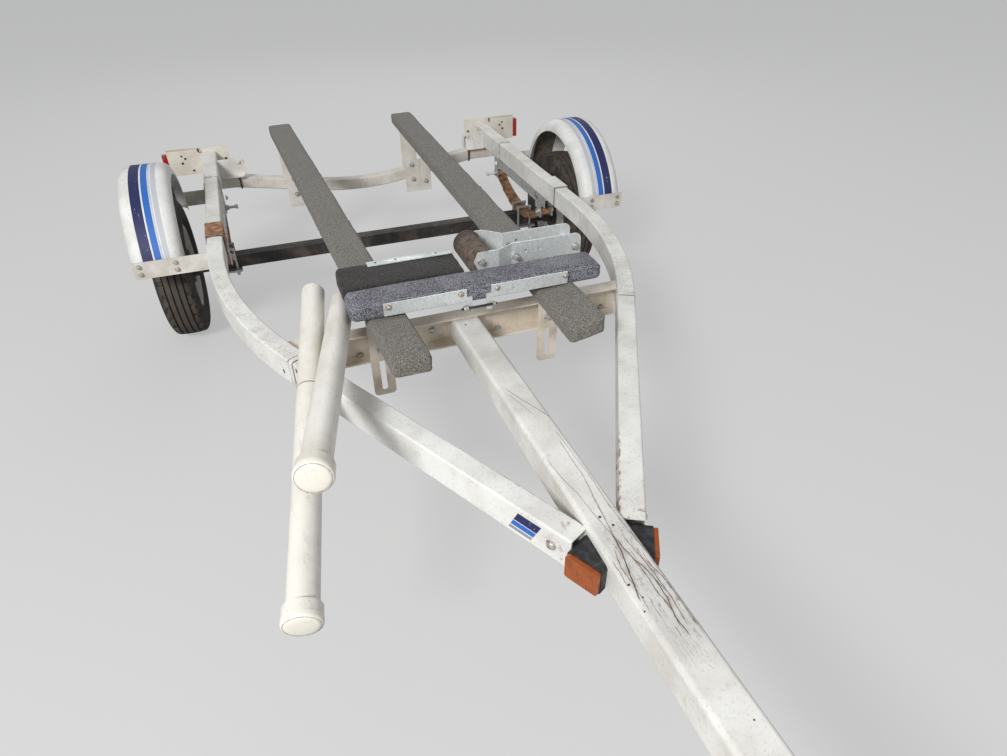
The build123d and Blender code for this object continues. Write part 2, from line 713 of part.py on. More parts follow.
# Two galvanised strips on the front pad's front face, each with an ear that hangs at its inner end
pad_front_y = near_pad_y - near_pad_depth / 2 - contact_gap
pad_bottom = rail_top + bunk_top + contact_gap
strip_low = pad_bottom + pad_angle_rise
pad_angles = []
for side in (1, -1):
    inner = side * pad_angle_gap / 2
    outer = inner + side * pad_angle_length
    ear_end = inner - side * pad_ear_width
    angle = box_between((min(inner, outer), pad_front_y - pad_angle_wall, strip_low),
                        (max(inner, outer), pad_front_y, strip_low + pad_angle_leg))
    angle += box_between((min(inner + side, ear_end), pad_front_y - pad_angle_wall, strip_low - pad_ear_drop),
                         (max(inner + side, ear_end), pad_front_y, strip_low + pad_angle_leg / 3))
    pad_angles.append(angle)
nodes["pad_angles"] = Compound(pad_angles)

# Roller arm: two flat bars lying across the right bunk, bent apart round a ribbed roller
arm_y = collar_y - arm_from_collar
arm_base_z = rail_top + bunk_top + contact_gap
mid_arm_z = arm_base_z + strap_height / 2
pin_z = mid_arm_z + pin_lift
half_gap = strap_gap / 2
roller_x = ear_bend_x - roller_gap - roller_radius
# The bars seen from the side: round corners at the outer end, a narrower clipped ear at the roller
side_points = [(ear_end_x + ear_clip, arm_base_z + ear_low), (ear_end_x, pin_z),
               (ear_end_x + ear_clip, arm_base_z + strap_height), (strap_outer_x, arm_base_z + strap_height),
               (strap_outer_x, arm_base_z), (strap_bend_x, arm_base_z), (ear_bend_x, arm_base_z + ear_low)]
side_outline = make_face(Polyline(*[(x, arm_y, z) for x, z in side_points], close=True))
outer_corners = side_outline.vertices().group_by(Axis.X)[-1]
side_outline = fillet(outer_corners, strap_corner)
hole_edge_x = strap_outer_x - end_hole_inset
# x, height, radius
hole_table = [(hole_edge_x, mid_arm_z, strap_hole_radius),
              (strap_bend_x + bend_hole_offset, mid_arm_z, strap_hole_radius)]
for offset in row_hole_offsets:
    hole_table.append((strap_bend_x + offset, mid_arm_z + row_hole_lift, row_hole_radius))


def arm_bar(flare):
    # The bar behind the roller arm's middle line; its ear stands flare further out
    ear_y = half_gap + flare
    band = [(ear_end_x, ear_y), (ear_bend_x, ear_y), (strap_bend_x, half_gap), (strap_outer_x, half_gap)]
    band += [(x, y + strap_wall) for x, y in reversed(band)]
    band_outline = make_face(Polyline(*[(x, arm_y + y, arm_base_z) for x, y in band], close=True))
    reach = ear_y + strap_wall + 1
    bar = extrude(band_outline, strap_height, dir=(0, 0, 1)) & extrude(side_outline, reach, dir=(0, 1, 0))
    for x, z, radius in hole_table:
        bar -= rod((x, arm_y, z), (x, arm_y + reach, z), radius)
    return bar


rear_bar = arm_bar(far_flare)
front_bar = Pos(0, 2 * arm_y, 0) * mirror(arm_bar(near_flare), about=Plane.XZ)
end_bolt_reach = half_gap + strap_wall + bolt_reach
spacer = rod((hole_edge_x, arm_y - end_bolt_reach, mid_arm_z), (hole_edge_x, arm_y + end_bolt_reach, mid_arm_z),
             strap_hole_radius)
near_ear_y = arm_y - half_gap - near_flare
far_ear_y = arm_y + half_gap + far_flare
pin_past_ear = strap_wall + bolt_reach
pin = rod((roller_x, near_ear_y - pin_past_ear, pin_z), (roller_x, far_ear_y + pin_past_ear, pin_z),
          roller_bolt_radius)
nodes["roller_arm"] = rear_bar + front_bar + spacer + pin
roller_start = near_ear_y + roller_end_gap
roller_end = far_ear_y - roller_end_gap
roller_length = roller_end - roller_start
roller = rod((roller_x, roller_start, pin_z), (roller_x, roller_end, pin_z), roller_core)
rib_pitch = roller_length / rib_count
for index in range(rib_count):
    rib_y = roller_start + index * rib_pitch
    roller += rod((roller_x, rib_y, pin_z), (roller_x, rib_y + rib_pitch * rib_share, pin_z), roller_radius)
roller -= rod((roller_x, roller_start - 1, pin_z), (roller_x, roller_end + 1, pin_z),
              roller_bolt_radius + running_gap)
nodes["roller"] = roller


# Guide poles: capped plastic pipes lying on the left arm and beside the left bunk
def guide_pole(far, near):
    # Both ends are given from the collar's line at the height of the rail's top
    start = Vector(far[0], collar_y + far[1], rail_top + far[2])
    end = Vector(near[0], collar_y + near[1], rail_top + near[2])
    unit = (end - start).normalized()
    pole = rod(start, end, pole_radius) - rod(start - unit, end - unit * pole_cap_end, pole_radius - pole_wall)
    return pole + rod(end - unit * pole_cap_length, end, pole_cap_radius)


nodes["guide_pole_outer"] = guide_pole(outer_pole_far, outer_pole_near)
nodes["guide_pole_inner"] = guide_pole(inner_pole_far, inner_pole_near)

# Side lamps between the arms' front ends and the tongue, facing outward
arm_unit = Vector(*arm_direction)
arm_out = Vector(cos(turn), -sin(turn), 0)
arm_tip = Vector(*arc_end, 0) + arm_unit * (arm_length + side_lamp_gap)
lamp_z = rail_top - side_lamp_drop - side_lamp_height / 2
lamp_mid = arm_tip + arm_unit * (side_lamp_length / 2) + arm_out * side_lamp_reach
lamp_plane = Plane(origin=(lamp_mid.X, lamp_mid.Y, lamp_z), x_dir=arm_unit, z_dir=arm_out)
housing_face = lamp_plane * RectangleRounded(side_lamp_length, side_lamp_height, side_lamp_corner)
housing = extrude(housing_face, -side_lamp_depth)
housing -= tongue_room
lens_plane = lamp_plane.offset(contact_gap / 3)
lens_length = side_lamp_length - 2 * side_lens_inset
lens_height = side_lamp_height - 2 * side_lens_inset
lens = extrude(lens_plane * RectangleRounded(lens_length, lens_height, side_lamp_corner), side_lens_depth)
nodes["side_lamps"] = both_sides(housing)
nodes["side_lenses"] = both_sides(lens)

# Ball coupler over the tongue's front end, tipped with the tongue
shell_half = tongue_width / 2 + contact_gap + coupler_wall
shell_back = coupler_start - coupler_overlap
lip_z = -ball_drop - socket_lip
shell = box_between((-shell_half, -ball_ahead, lip_z), (shell_half, -shell_back, contact_gap + coupler_wall))
shell -= box_between((-shell_half + coupler_wall, -ball_ahead - dome_radius, lip_z - 1),
                     (shell_half - coupler_wall, -shell_back + 1, contact_gap))
dome = Pos(0, -ball_ahead, -ball_drop) * Sphere(dome_radius)
dome += rod((0, -ball_ahead, -ball_drop), (0, -ball_ahead, lip_z), dome_radius)
dome += box_between((-shell_half, -ball_ahead, -ball_drop - 24), (shell_half, -coupler_start - 8, 2))
socket = Pos(0, -ball_ahead, -ball_drop) * Sphere(ball_radius + ball_clearance)
socket += rod((0, -ball_ahead, -ball_drop), (0, -ball_ahead, -ball_drop - dome_radius),
              ball_radius + ball_clearance)
coupler = shell + dome - socket
latch_y = -coupler_start + 10
latch_pin_z = contact_gap + coupler_wall + 12
half_latch = latch_width / 2
for ear_x in (half_latch + 1, -half_latch - 5):
    coupler += box_between((ear_x, latch_y - 12, contact_gap), (ear_x + 4, latch_y + 12, latch_pin_z + 10))
coupler += rod((-half_latch - 5, latch_y, latch_pin_z), (half_latch + 5, latch_y, latch_pin_z), latch_pin_radius)
nodes["coupler"] = tip_up * coupler
latch = rod((-half_latch, latch_y, latch_pin_z), (half_latch, latch_y, latch_pin_z), latch_pin_radius + 5)
lever_z = latch_pin_z + 4
latch += box_between((-half_latch, latch_y, lever_z), (half_latch, latch_y + latch_length, lever_z + latch_wall))
latch -= rod((-latch_width, latch_y, latch_pin_z), (latch_width, latch_y, latch_pin_z),
             latch_pin_radius + running_gap)
nodes["coupler_latch"] = tip_up * latch

# Tongue jack: plate and pivot on the tongue's right side
jack_y = ball_y + jack_behind_ball
jack_pivot_z = pivot_z + (pivot_y - jack_y) * tan(rise) - tongue_height / 2
plate_x = tongue_side + contact_gap
half_length = jack_plate_length / 2
half_height = jack_plate_height / 2
bracket = box_between((plate_x, jack_y - half_length, jack_pivot_z - half_height),
                      (plate_x + jack_plate_wall, jack_y + half_length, jack_pivot_z + half_height))
boss_x = plate_x + jack_plate_wall + jack_boss_length
flange_x_jack = boss_x + contact_gap
jack_x = flange_x_jack + jack_flange_wall + jack_tube_radius - tube_bite
bracket += rod((plate_x, jack_y, jack_pivot_z), (boss_x, jack_y, jack_pivot_z), jack_boss_radius)
pivot_end_x = flange_x_jack + jack_flange_wall - tube_bite - 1
bracket += rod((plate_x, jack_y, jack_pivot_z), (pivot_end_x, jack_y, jack_pivot_z), jack_pivot_radius)
nodes["jack_bracket"] = bracket
tube_bottom = jack_pivot_z - jack_tube_below
tube_top = jack_pivot_z + jack_tube_above
jack_tube = rod((flange_x_jack, jack_y, jack_pivot_z), (flange_x_jack + jack_flange_wall, jack_y, jack_pivot_z),
                jack_flange_radius)
jack_tube -= rod((flange_x_jack - 1, jack_y, jack_pivot_z),
                 (flange_x_jack + jack_flange_wall + 1, jack_y, jack_pivot_z), jack_pivot_radius + running_gap)
jack_tube += rod((jack_x, jack_y, tube_bottom), (jack_x, jack_y, tube_top), jack_tube_radius)
jack_tube -= rod((jack_x, jack_y, tube_bottom - 1), (jack_x, jack_y, tube_top - jack_cap_wall),
                 jack_leg_radius + running_gap)
cap_top = tube_top + jack_cap_height
jack_tube += rod((jack_x, jack_y, tube_top), (jack_x, jack_y, cap_top), jack_tube_radius + jack_cap_lip)
nodes["jack_tube"] = jack_tube
boss_bottom = cap_top + contact_gap / 3
boss_top = cap_top + crank_boss_height
crank_z = cap_top + crank_rise
crank_end_y = jack_y - crank_length
crank = rod((jack_x, jack_y, boss_bottom), (jack_x, jack_y, boss_top), crank_boss_radius)
crank += rod((jack_x, jack_y, crank_z), (jack_x, crank_end_y, crank_z), crank_radius)
grip_bottom = crank_z - crank_radius
crank += rod((jack_x, crank_end_y, grip_bottom), (jack_x, crank_end_y, crank_z + grip_length), grip_radius)
nodes["jack_crank"] = crank

fork_top = jack_wheel_radius * 2 + jack_wheel_gap + jack_fork_wall
leg_bottom = fork_top + contact_gap
leg_top = tube_bottom + jack_leg_inside
stem_top = fork_top + jack_stem_length
leg = rod((jack_x, jack_y, leg_bottom), (jack_x, jack_y, leg_top), jack_leg_radius)
leg -= rod((jack_x, jack_y, leg_bottom + jack_leg_plug), (jack_x, jack_y, leg_top + 1),
           jack_leg_radius - jack_leg_wall)
leg -= rod((jack_x, jack_y, leg_bottom - 1), (jack_x, jack_y, stem_top + 2 + contact_gap),
           jack_stem_radius + running_gap)
nodes["jack_leg"] = leg

fork_inner = jack_wheel_width / 2 + jack_wheel_gap
fork_outer = fork_inner + jack_fork_wall
wheel_y = jack_y - jack_trail
fork = box_between((jack_x - fork_outer, wheel_y - jack_fork_half_depth - 2, fork_top - jack_fork_wall),
                   (jack_x + fork_outer, jack_y + jack_leg_radius + 4.2, fork_top))
for low_x, high_x in ((-fork_outer, -fork_inner), (fork_inner, fork_outer)):
    fork += box_between((jack_x + low_x, wheel_y - jack_fork_half_depth, jack_wheel_radius - 16),
                        (jack_x + high_x, wheel_y + jack_fork_half_depth, fork_top))
fork += rod((jack_x, jack_y, fork_top - 1), (jack_x, jack_y, stem_top), jack_stem_radius)
axle_reach = fork_outer + 6
fork += rod((jack_x - axle_reach, wheel_y, jack_wheel_radius), (jack_x + axle_reach, wheel_y, jack_wheel_radius),
            jack_axle_radius)
nodes["jack_caster"] = fork
jack_wheel = rod((jack_x - jack_wheel_width / 2, wheel_y, jack_wheel_radius),
                 (jack_x + jack_wheel_width / 2, wheel_y, jack_wheel_radius), jack_wheel_radius)
jack_wheel = fillet(jack_wheel.edges().filter_by(GeomType.CIRCLE), 7)
jack_wheel -= rod((jack_x - jack_wheel_width, wheel_y, jack_wheel_radius),
                  (jack_x + jack_wheel_width, wheel_y, jack_wheel_radius), jack_axle_radius + running_gap)
nodes["jack_wheel"] = jack_wheel

os.makedirs("parts", exist_ok=True)
for name, shape in nodes.items():
    export_step(shape, f"parts/{name}.step")
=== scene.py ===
from math import atan2, cos, pi, radians, sin, sqrt

import bmesh
import bpy
from mathutils import Matrix, Vector, noise


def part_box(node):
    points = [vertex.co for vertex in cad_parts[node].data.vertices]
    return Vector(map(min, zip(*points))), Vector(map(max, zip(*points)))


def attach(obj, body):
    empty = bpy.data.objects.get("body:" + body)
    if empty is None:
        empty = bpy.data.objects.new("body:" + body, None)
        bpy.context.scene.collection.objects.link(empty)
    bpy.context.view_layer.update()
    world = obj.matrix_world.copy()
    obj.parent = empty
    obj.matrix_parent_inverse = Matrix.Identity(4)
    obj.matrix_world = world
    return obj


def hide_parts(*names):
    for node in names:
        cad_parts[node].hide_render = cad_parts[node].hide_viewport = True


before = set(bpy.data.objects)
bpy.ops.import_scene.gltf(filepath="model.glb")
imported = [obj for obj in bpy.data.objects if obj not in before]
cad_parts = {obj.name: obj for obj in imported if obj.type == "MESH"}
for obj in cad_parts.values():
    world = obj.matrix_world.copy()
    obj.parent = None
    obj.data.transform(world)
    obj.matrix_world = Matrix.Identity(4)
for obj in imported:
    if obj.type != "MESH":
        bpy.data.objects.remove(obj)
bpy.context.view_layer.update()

# Straight rails with their tail sleeves. Rolled steel tubes, 2 by 3 inches, welded, sprayed white
# and left outdoors: the paint is chalky, thinly dirty, and rust shows through as small specks.


class Finish:
    """A surface put together from a few patterns: its colour, its gloss and its fine relief."""

    def __init__(self, name, roughness, metallic=0.0):
        self.material = bpy.data.materials.new(name)
        self.material.use_nodes = True
        self.tree = self.material.node_tree
        self.shader = self.tree.nodes["Principled BSDF"]
        self.shader.inputs["Roughness"].default_value = roughness
        self.shader.inputs["Metallic"].default_value = metallic
        self.place = self.add("TexCoord").outputs["Object"]

    def add(self, kind, **settings):
        made = self.tree.nodes.new("ShaderNode" + kind)
        for key, value in settings.items():
            setattr(made, key, value)
        return made

    def feed(self, socket, value):
        if isinstance(value, bpy.types.NodeSocket):
            self.tree.links.new(value, socket)
        elif hasattr(value, "__len__") and len(value) == 3 and len(socket.default_value) == 4:
            socket.default_value = (*value, 1.0)
        else:
            socket.default_value = value

    def joined(self, kind, *inputs, **settings):
        # The first output of a new node whose first inputs are fed in order
        made = self.add(kind, **settings)
        for socket, value in zip(made.inputs, inputs):
            self.feed(socket, value)
        return made.outputs[0]

    def turned(self, turn=(0, 0, 0), stretch=(1, 1, 1), centre=(0, 0, 0)):
        # The object's own place, moved so that centre is its origin, then turned and stretched
        mapping = self.add("Mapping")
        mapping.inputs["Rotation"].default_value = turn
        mapping.inputs["Scale"].default_value = stretch
        moved = self.joined("VectorMath", self.place, centre, operation="SUBTRACT")
        self.feed(mapping.inputs["Vector"], moved)
        return mapping.outputs["Vector"]

    def cloud(self, scale, detail=4.0, roughness=0.6, source=None):
        texture = self.add("TexNoise")
        texture.inputs["Scale"].default_value = scale
        texture.inputs["Detail"].default_value = detail
        texture.inputs["Roughness"].default_value = roughness
        self.feed(texture.inputs["Vector"], source or self.place)
        return texture.outputs["Fac"]

    def cells(self, scale, source=None, feature="F1", uneven=1.0):
        texture = self.add("TexVoronoi", feature=feature)
        texture.inputs["Scale"].default_value = scale
        texture.inputs["Randomness"].default_value = uneven
        self.feed(texture.inputs["Vector"], source or self.place)
        return texture.outputs["Distance"]

    def rise(self, value, low, high):
        # 0 below low, 1 above high, smooth between; turned round where low is the larger
        ramp = self.add("MapRange", interpolation_type="SMOOTHSTEP")
        self.feed(ramp.inputs["Value"], value)
        ramp.inputs["From Min"].default_value = min(low, high)
        ramp.inputs["From Max"].default_value = max(low, high)
        ramp.inputs["To Min"].default_value = 0.0 if low < high else 1.0
        ramp.inputs["To Max"].default_value = 1.0 if low < high else 0.0
        return ramp.outputs["Result"]

    def patches(self, low, high, scale, detail=4.0, roughness=0.6):
        return self.rise(self.cloud(scale, detail, roughness), low, high)

    def reckon(self, operation, first, second=0.0, clamp=False):
        return self.joined("Math", first, second, operation=operation, use_clamp=clamp)

    def both(self, first, second):
        return self.reckon("MULTIPLY", first, second, True)

    def either(self, first, second):
        return self.reckon("MAXIMUM", first, second)

    def times(self, first, second):
        return self.reckon("MULTIPLY", first, second)

    def plus(self, first, second):
        return self.reckon("ADD", first, second)

    def minus(self, first, second):
        return self.reckon("SUBTRACT", first, second)

    def unsigned(self, value):
        return self.reckon("ABSOLUTE", value)

    def axes(self, source=None):
        split = self.add("SeparateXYZ")
        self.feed(split.inputs[0], source or self.place)
        return split.outputs

    def over(self, amount, below, above, share=None):
        # above covers below where amount is 1, or only that share of it
        if share is not None:
            amount = self.both(amount, share)
        made = self.add("Mix", data_type="RGBA")
        self.feed(made.inputs["Factor"], amount)
        self.feed(made.inputs["A"], below)
        self.feed(made.inputs["B"], above)
        return made.outputs["Result"]

    def colour(self, value):
        self.tone = value
        self.feed(self.shader.inputs["Base Color"], value)

    def mark(self, amount, colour, share=None):
        # Lays one more colour over the tone so far
        self.colour(self.over(amount, self.tone, colour, share))

    def gloss(self, amount, low, high):
        self.feed(self.shader.inputs["Roughness"], self.over(amount, (low, low, low), (high, high, high)))

    def relief(self, height, depth, strength=1.0):
        bump = self.add("Bump")
        bump.inputs["Strength"].default_value = strength
        bump.inputs["Distance"].default_value = depth
        self.feed(bump.inputs["Height"], height)
        self.feed(self.shader.inputs["Normal"], bump.outputs["Normal"])

    def on(self, *names):
        for name in names:
            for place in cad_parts[name].material_slots:
                place.material = self.material
        return self

    def between(self, value, low, high, soft):
        return self.both(self.rise(value, low - soft, low + soft), self.rise(value, high + soft, high - soft))

    def offset(self, value, middle):
        return self.unsigned(self.minus(value, middle))

    def reach(self, first, second, middle_first, middle_second):
        # How far a place is from an axis that runs through the two middles
        first, second = self.minus(first, middle_first), self.minus(second, middle_second)
        return self.reckon("SQRT", self.plus(self.times(first, first), self.times(second, second)))

    def spots(self, first, second, table):
        # 1 inside each small hole of a table of (first, second, radius), 0 elsewhere
        found = 0.0
        for at_first, at_second, radius in table:
            gap = self.reckon("POWER", self.offset(first, at_first), 2.0)
            gap = self.plus(gap, self.reckon("POWER", self.offset(second, at_second), 2.0))
            inside = self.rise(gap, radius ** 2 * 1.2, radius ** 2 * 0.8)
            found = self.either(found, inside)
        return found


def outdoor_paint(name, clean, dull, rust_share, streaks=0.0, dirt=(0.30, 0.25, 0.19)):
    """White sprayed paint after years outdoors: chalky clouds, dirt, rust specks and small chips."""
    paint = Finish(name, 0.45)
    paint.colour(paint.over(paint.patches(0.35, 0.68, 9.0), clean, dull))
    grime = paint.patches(0.56, 0.74, 38.0, 8.0, 0.72)
    paint.mark(grime, dirt, 0.34)
    if streaks:
        runs = paint.cloud(1.0, 5.0, 0.7, paint.turned(stretch=(46, 46, 5)))
        paint.mark(paint.both(paint.rise(runs, 0.55, 0.72), streaks), dirt)
    patches = paint.rise(paint.cloud(5.5, 3.0), 0.66 - rust_share, 0.9 - rust_share)
    speck = paint.both(paint.patches(0.66, 0.72, 240.0, 3.0, 0.6), patches)
    paint.mark(speck, (0.16, 0.065, 0.028))
    bloom = paint.both(paint.patches(0.62, 0.8, 60.0, 5.0, 0.65), patches)
    paint.mark(bloom, (0.34, 0.19, 0.09), 0.45)
    dots = paint.patches(0.55, 0.68, 185.0, 3.0, 0.65)
    paint.mark(dots, dirt, 0.30)
    paint.gloss(speck, 0.56, 0.85)
    paint.relief(paint.cloud(520.0, 2.0), 0.0004, 0.35)
    return paint


paint = outdoor_paint("rail_paint", (0.76, 0.75, 0.71), (0.60, 0.58, 0.53), 0.10)
# rust has crept out of the step where the tail sleeve begins
sleeve_y = 1.811
from_step = paint.offset(paint.axes()[1], sleeve_y)
creep = paint.both(paint.rise(from_step, 0.012, 0.002), paint.patches(0.42, 0.6, 70.0))
# the dark line right at the step is painted shade under the sleeve's edge, laid over a darkened joint
seam = paint.rise(from_step, 0.0022, 0.0010)
paint.mark(creep, (0.36, 0.21, 0.12), 0.6)
paint.mark(seam, (0.16, 0.08, 0.045), 0.85)
paint.on("rail_right", "rail_left")

# Bent tubes with a saddle collar. The same tube bent on a roller, so that the two sides meet the
# tongue in a V; a folded saddle is welded over each joint. The left saddle has lost its paint.
collar_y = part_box("bent_tube_left")[1].y
saddle_length = 0.124
for side, name in ((1, "bent_tube_right"), (-1, "bent_tube_left")):
    paint = outdoor_paint(name + "_paint", (0.76, 0.755, 0.72), (0.62, 0.61, 0.57), 0.07)
    across, along, up = paint.axes()
    # brown dirt has run along the outside of the curve
    curve = paint.rise(along, 1.00, 0.80)
    runs = paint.cloud(1.0, 5.0, 0.65, paint.turned(stretch=(14, 14, 70)))
    runs = paint.both(paint.rise(paint.offset(runs, 0.5), 0.016, 0.004), curve)
    paint.mark(runs, (0.36, 0.24, 0.14), 0.35)
    if side < 0:
        edge = paint.plus(along, paint.times(paint.cloud(30.0), 0.03))
        bare = paint.rise(edge, collar_y - saddle_length + 0.008, collar_y - saddle_length + 0.02)
        rust = paint.over(paint.patches(0.4, 0.62, 42.0, 6.0), (0.20, 0.085, 0.04), (0.40, 0.22, 0.12))
        paint.mark(bare, rust)
        paint.gloss(bare, 0.56, 0.85)
    # the saddle's front edge, and the slot near the arm's seam
    lap = paint.rise(paint.offset(along, collar_y - saddle_length), 0.0024, 0.0012)
    lap = paint.both(lap, 0.7)
    slot = paint.spots(along, paint.times(up, 0.5), ((0.3405, 0.2476, 0.0035),))
    slot = paint.both(slot, paint.rise(paint.unsigned(across), 0.484, 0.486))
    paint.mark(paint.either(lap, slot), (0.06, 0.045, 0.035))
    paint.on(name)

# Straight arms from the bends to the tongue. White tube, welded to the bend at a dark seam with a
# slot beside it; the front ends have rusted. The left arm carries a sticker of three leaning bands.
arm_turn = radians(28)
arm_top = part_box("arm_left")[1].z
arm_half = 0.0254
arm_start_x, arm_start_y = 0.47242, 0.32679
for side, name in ((1, "arm_right"), (-1, "arm_left")):
    paint = outdoor_paint(name + "_paint", (0.78, 0.775, 0.74), (0.64, 0.63, 0.59), 0.11)
    arm_rear = Vector((side * arm_start_x, arm_start_y, arm_top))
    # run goes forward along the arm, sideways across it and height up, from its rear end's top
    run, sideways, height = paint.axes(paint.turned(turn=(0, 0, pi / 2 + side * arm_turn), centre=arm_rear))
    outer_face = paint.rise(paint.times(sideways, side), arm_half - 0.0015, arm_half - 0.0005)
    blotch = paint.cloud(46.0, 6.0, 0.7)
    end_rust = paint.both(paint.rise(run, 0.80, 0.90), paint.rise(blotch, 0.54, 0.66))
    edge_rust = paint.rise(paint.times(sideways, side), -arm_half + 0.006, -arm_half + 0.001)
    edge_rust = paint.both(edge_rust, paint.rise(run, 0.58, 0.70))
    edge_rust = paint.both(edge_rust, paint.rise(blotch, 0.46, 0.56))
    rust = paint.either(end_rust, edge_rust)
    paint.mark(rust, (0.24, 0.11, 0.055), 0.85)
    if side < 0:
        # the sticker's ends lean: its rear edge runs back towards its foot
        lean_run = paint.plus(run, paint.times(height, -0.47))
        length = paint.between(lean_run, 0.7687, 0.8262, 0.0005)
        kept = paint.patches(0.70, 0.64, 160.0, 4.0, 0.7)
        kept = paint.both(paint.both(kept, length), outer_face)
        # low, high, ink
        for low, high, ink in ((-0.0365, -0.0130, (0.012, 0.016, 0.088)),
                               (-0.0530, -0.0385, (0.020, 0.130, 0.520)),
                               (-0.0650, -0.0560, (0.260, 0.280, 0.300))):
            band = paint.both(paint.between(height, low, high, 0.0005), kept)
            paint.mark(band, ink)
    seam = paint.either(paint.between(run, 0.0015, 0.0050, 0.0006),
                        paint.between(run, 0.0200, 0.0238, 0.0006))
    seam = paint.both(seam, 0.9)
    slot = paint.spots(run, paint.times(height, 0.5), ((0.0356, -0.0085, 0.0035),))
    slot = paint.both(slot, outer_face)
    paint.mark(paint.either(seam, slot), (0.035, 0.028, 0.024))
    paint.on(name)


def standing(place, axis):
    """Moves a piece that is made upright to place and turns it to point along axis."""
    turn = Vector((0, 0, 1)).rotation_difference(Vector(axis).normalized())
    return Matrix.Translation(place) @ turn.to_matrix().to_4x4()


def tipped(place, about):
    """Moves a piece that is made upright to place and lays it down about one axis."""
    return Matrix.Translation(place) @ Matrix.Rotation(pi / 2, 4, about)


def disc(mesh, where, radius, depth, sides, far_radius=None):
    """A washer, a head or a length of round bar; returns its points."""
    made = bmesh.ops.create_cone(mesh, cap_ends=True, segments=sides, radius1=radius,
                                 radius2=far_radius or radius, depth=depth, matrix=where)
    return made["verts"]


def rounded(mesh, edges, radius, steps):
    """Rounds edges off in a few steps."""
    bmesh.ops.bevel(mesh, geom=edges, offset=radius, offset_type="OFFSET", segments=steps, affect="EDGES",
                    profile=0.5, material=-1)


def join_rings(mesh, first, second, begin=0):
    """Faces between two rings of points, or between two open rows where begin is 1."""
    for index in range(begin, len(first)):
        mesh.faces.new((first[index - 1], first[index], second[index], second[index - 1]))


def hex_head(mesh, place, axis, width, height, washer=0.0):
    """A hexagon head or nut with rounded corners on a round washer, seated at place along axis."""
    where = standing(place, axis)
    washer_depth, head_lift = 0.0018, 0.0012
    if washer:
        middle = where @ Matrix.Translation((0, 0, washer_depth / 2))
        disc(mesh, middle, washer, washer_depth, 24, washer * 0.96)
    head = disc(mesh, where @ Matrix.Translation((0, 0, height / 2 + head_lift)), width / 2, height, 6)
    rounded(mesh, list({e for v in head for e in v.link_edges}), width * 0.05, 2)


def dome_head(mesh, place, axis, radius, height):
    """A round carriage bolt's head: a shallow dome pointing along axis."""
    start = set(mesh.verts)
    bmesh.ops.create_uvsphere(mesh, u_segments=20, v_segments=10, radius=radius,
                              matrix=standing(place, axis) @ Matrix.Diagonal((1, 1, height / radius, 1)))
    made = [v for v in mesh.verts if v not in start]
    whole = set(made)
    made += [part for part in [*mesh.edges, *mesh.faces] if part.verts[0] in whole]
    bmesh.ops.bisect_plane(mesh, geom=made, plane_co=place, plane_no=axis, clear_inner=True)


def finished(mesh, name, finish, smooth=35, body="frame"):
    """Turns a bmesh into a piece of the trailer that moves with one body, mostly the frame."""
    bmesh.ops.remove_doubles(mesh, verts=mesh.verts, dist=1e-6)
    bmesh.ops.recalc_face_normals(mesh, faces=mesh.faces)
    data = bpy.data.meshes.new(name)
    mesh.to_mesh(data)
    mesh.free()
    piece = bpy.data.objects.new(name, data)
    bpy.context.collection.objects.link(piece)
    data.materials.append(finish.material)
    data.shade_smooth()
    data.set_sharp_from_angle(angle=radians(smooth))
    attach(piece, body)
    return piece


def zinc_bolts(name, heads):
    """Hexagon heads and nuts on the frame as one piece: place, axis, width, height and washer of each."""
    mesh = bmesh.new()
    for head in heads:
        hex_head(mesh, *head)
    finished(mesh, name, bolt_zinc)


def mottled(name, roughness, metallic, clean, marked, patches, grain=None, gloss=None):
    """A finish of two tones in cloudy patches, with a fine grain: scale, detail, depth and strength."""
    made = Finish(name, roughness, metallic)
    marks = made.patches(*patches)
    made.colour(made.over(marks, clean, marked))
    if gloss:
        made.gloss(marks, *gloss)
    if grain:
        made.relief(made.cloud(*grain[:2]), *grain[2:])
    return made


bolt_zinc = mottled("weathered_bolt", 0.45, 0.6, (0.54, 0.54, 0.51), (0.24, 0.15, 0.10),
                    (0.50, 0.66, 140.0, 5.0), (600.0, 4.0, 0.0004, 0.5), (0.42, 0.8))


def arm_ways(side):
    """The middle of an arm's top at its rear end, then its way forward and its way outward."""
    return (Vector((side * arm_start_x, arm_start_y, arm_top)),
            Vector((-side * sin(arm_turn), -cos(arm_turn), 0)),
            Vector((side * cos(arm_turn), -sin(arm_turn), 0)))


bolt_run, bolt_drop = 0.8443, 0.0403
mesh = bmesh.new()
for side in (1, -1):
    start, forward, outward = arm_ways(side)
    on_face = start + forward * bolt_run + outward * arm_half - Vector((0, 0, bolt_drop))
    turn = outward.to_track_quat("Z", "Y").to_matrix().to_4x4()
    disc(mesh, Matrix.Translation(on_face) @ turn, 0.0125, 0.0016, 28, 0.0118)
    dome_head(mesh, on_face + outward * 0.0006, outward, 0.0105, 0.0065)
finished(mesh, "arm_bolts", bolt_zinc)

# Lips where each arm is slipped over its bend: a thin folded band of sheet round the tube, welded
# on one side and painted with it.
lip_paint = outdoor_paint("lip_paint", (0.77, 0.765, 0.73), (0.60, 0.58, 0.53), 0.2)
arm_half_height = 0.0381
lip_middle, lip_half = 0.013, 0.007
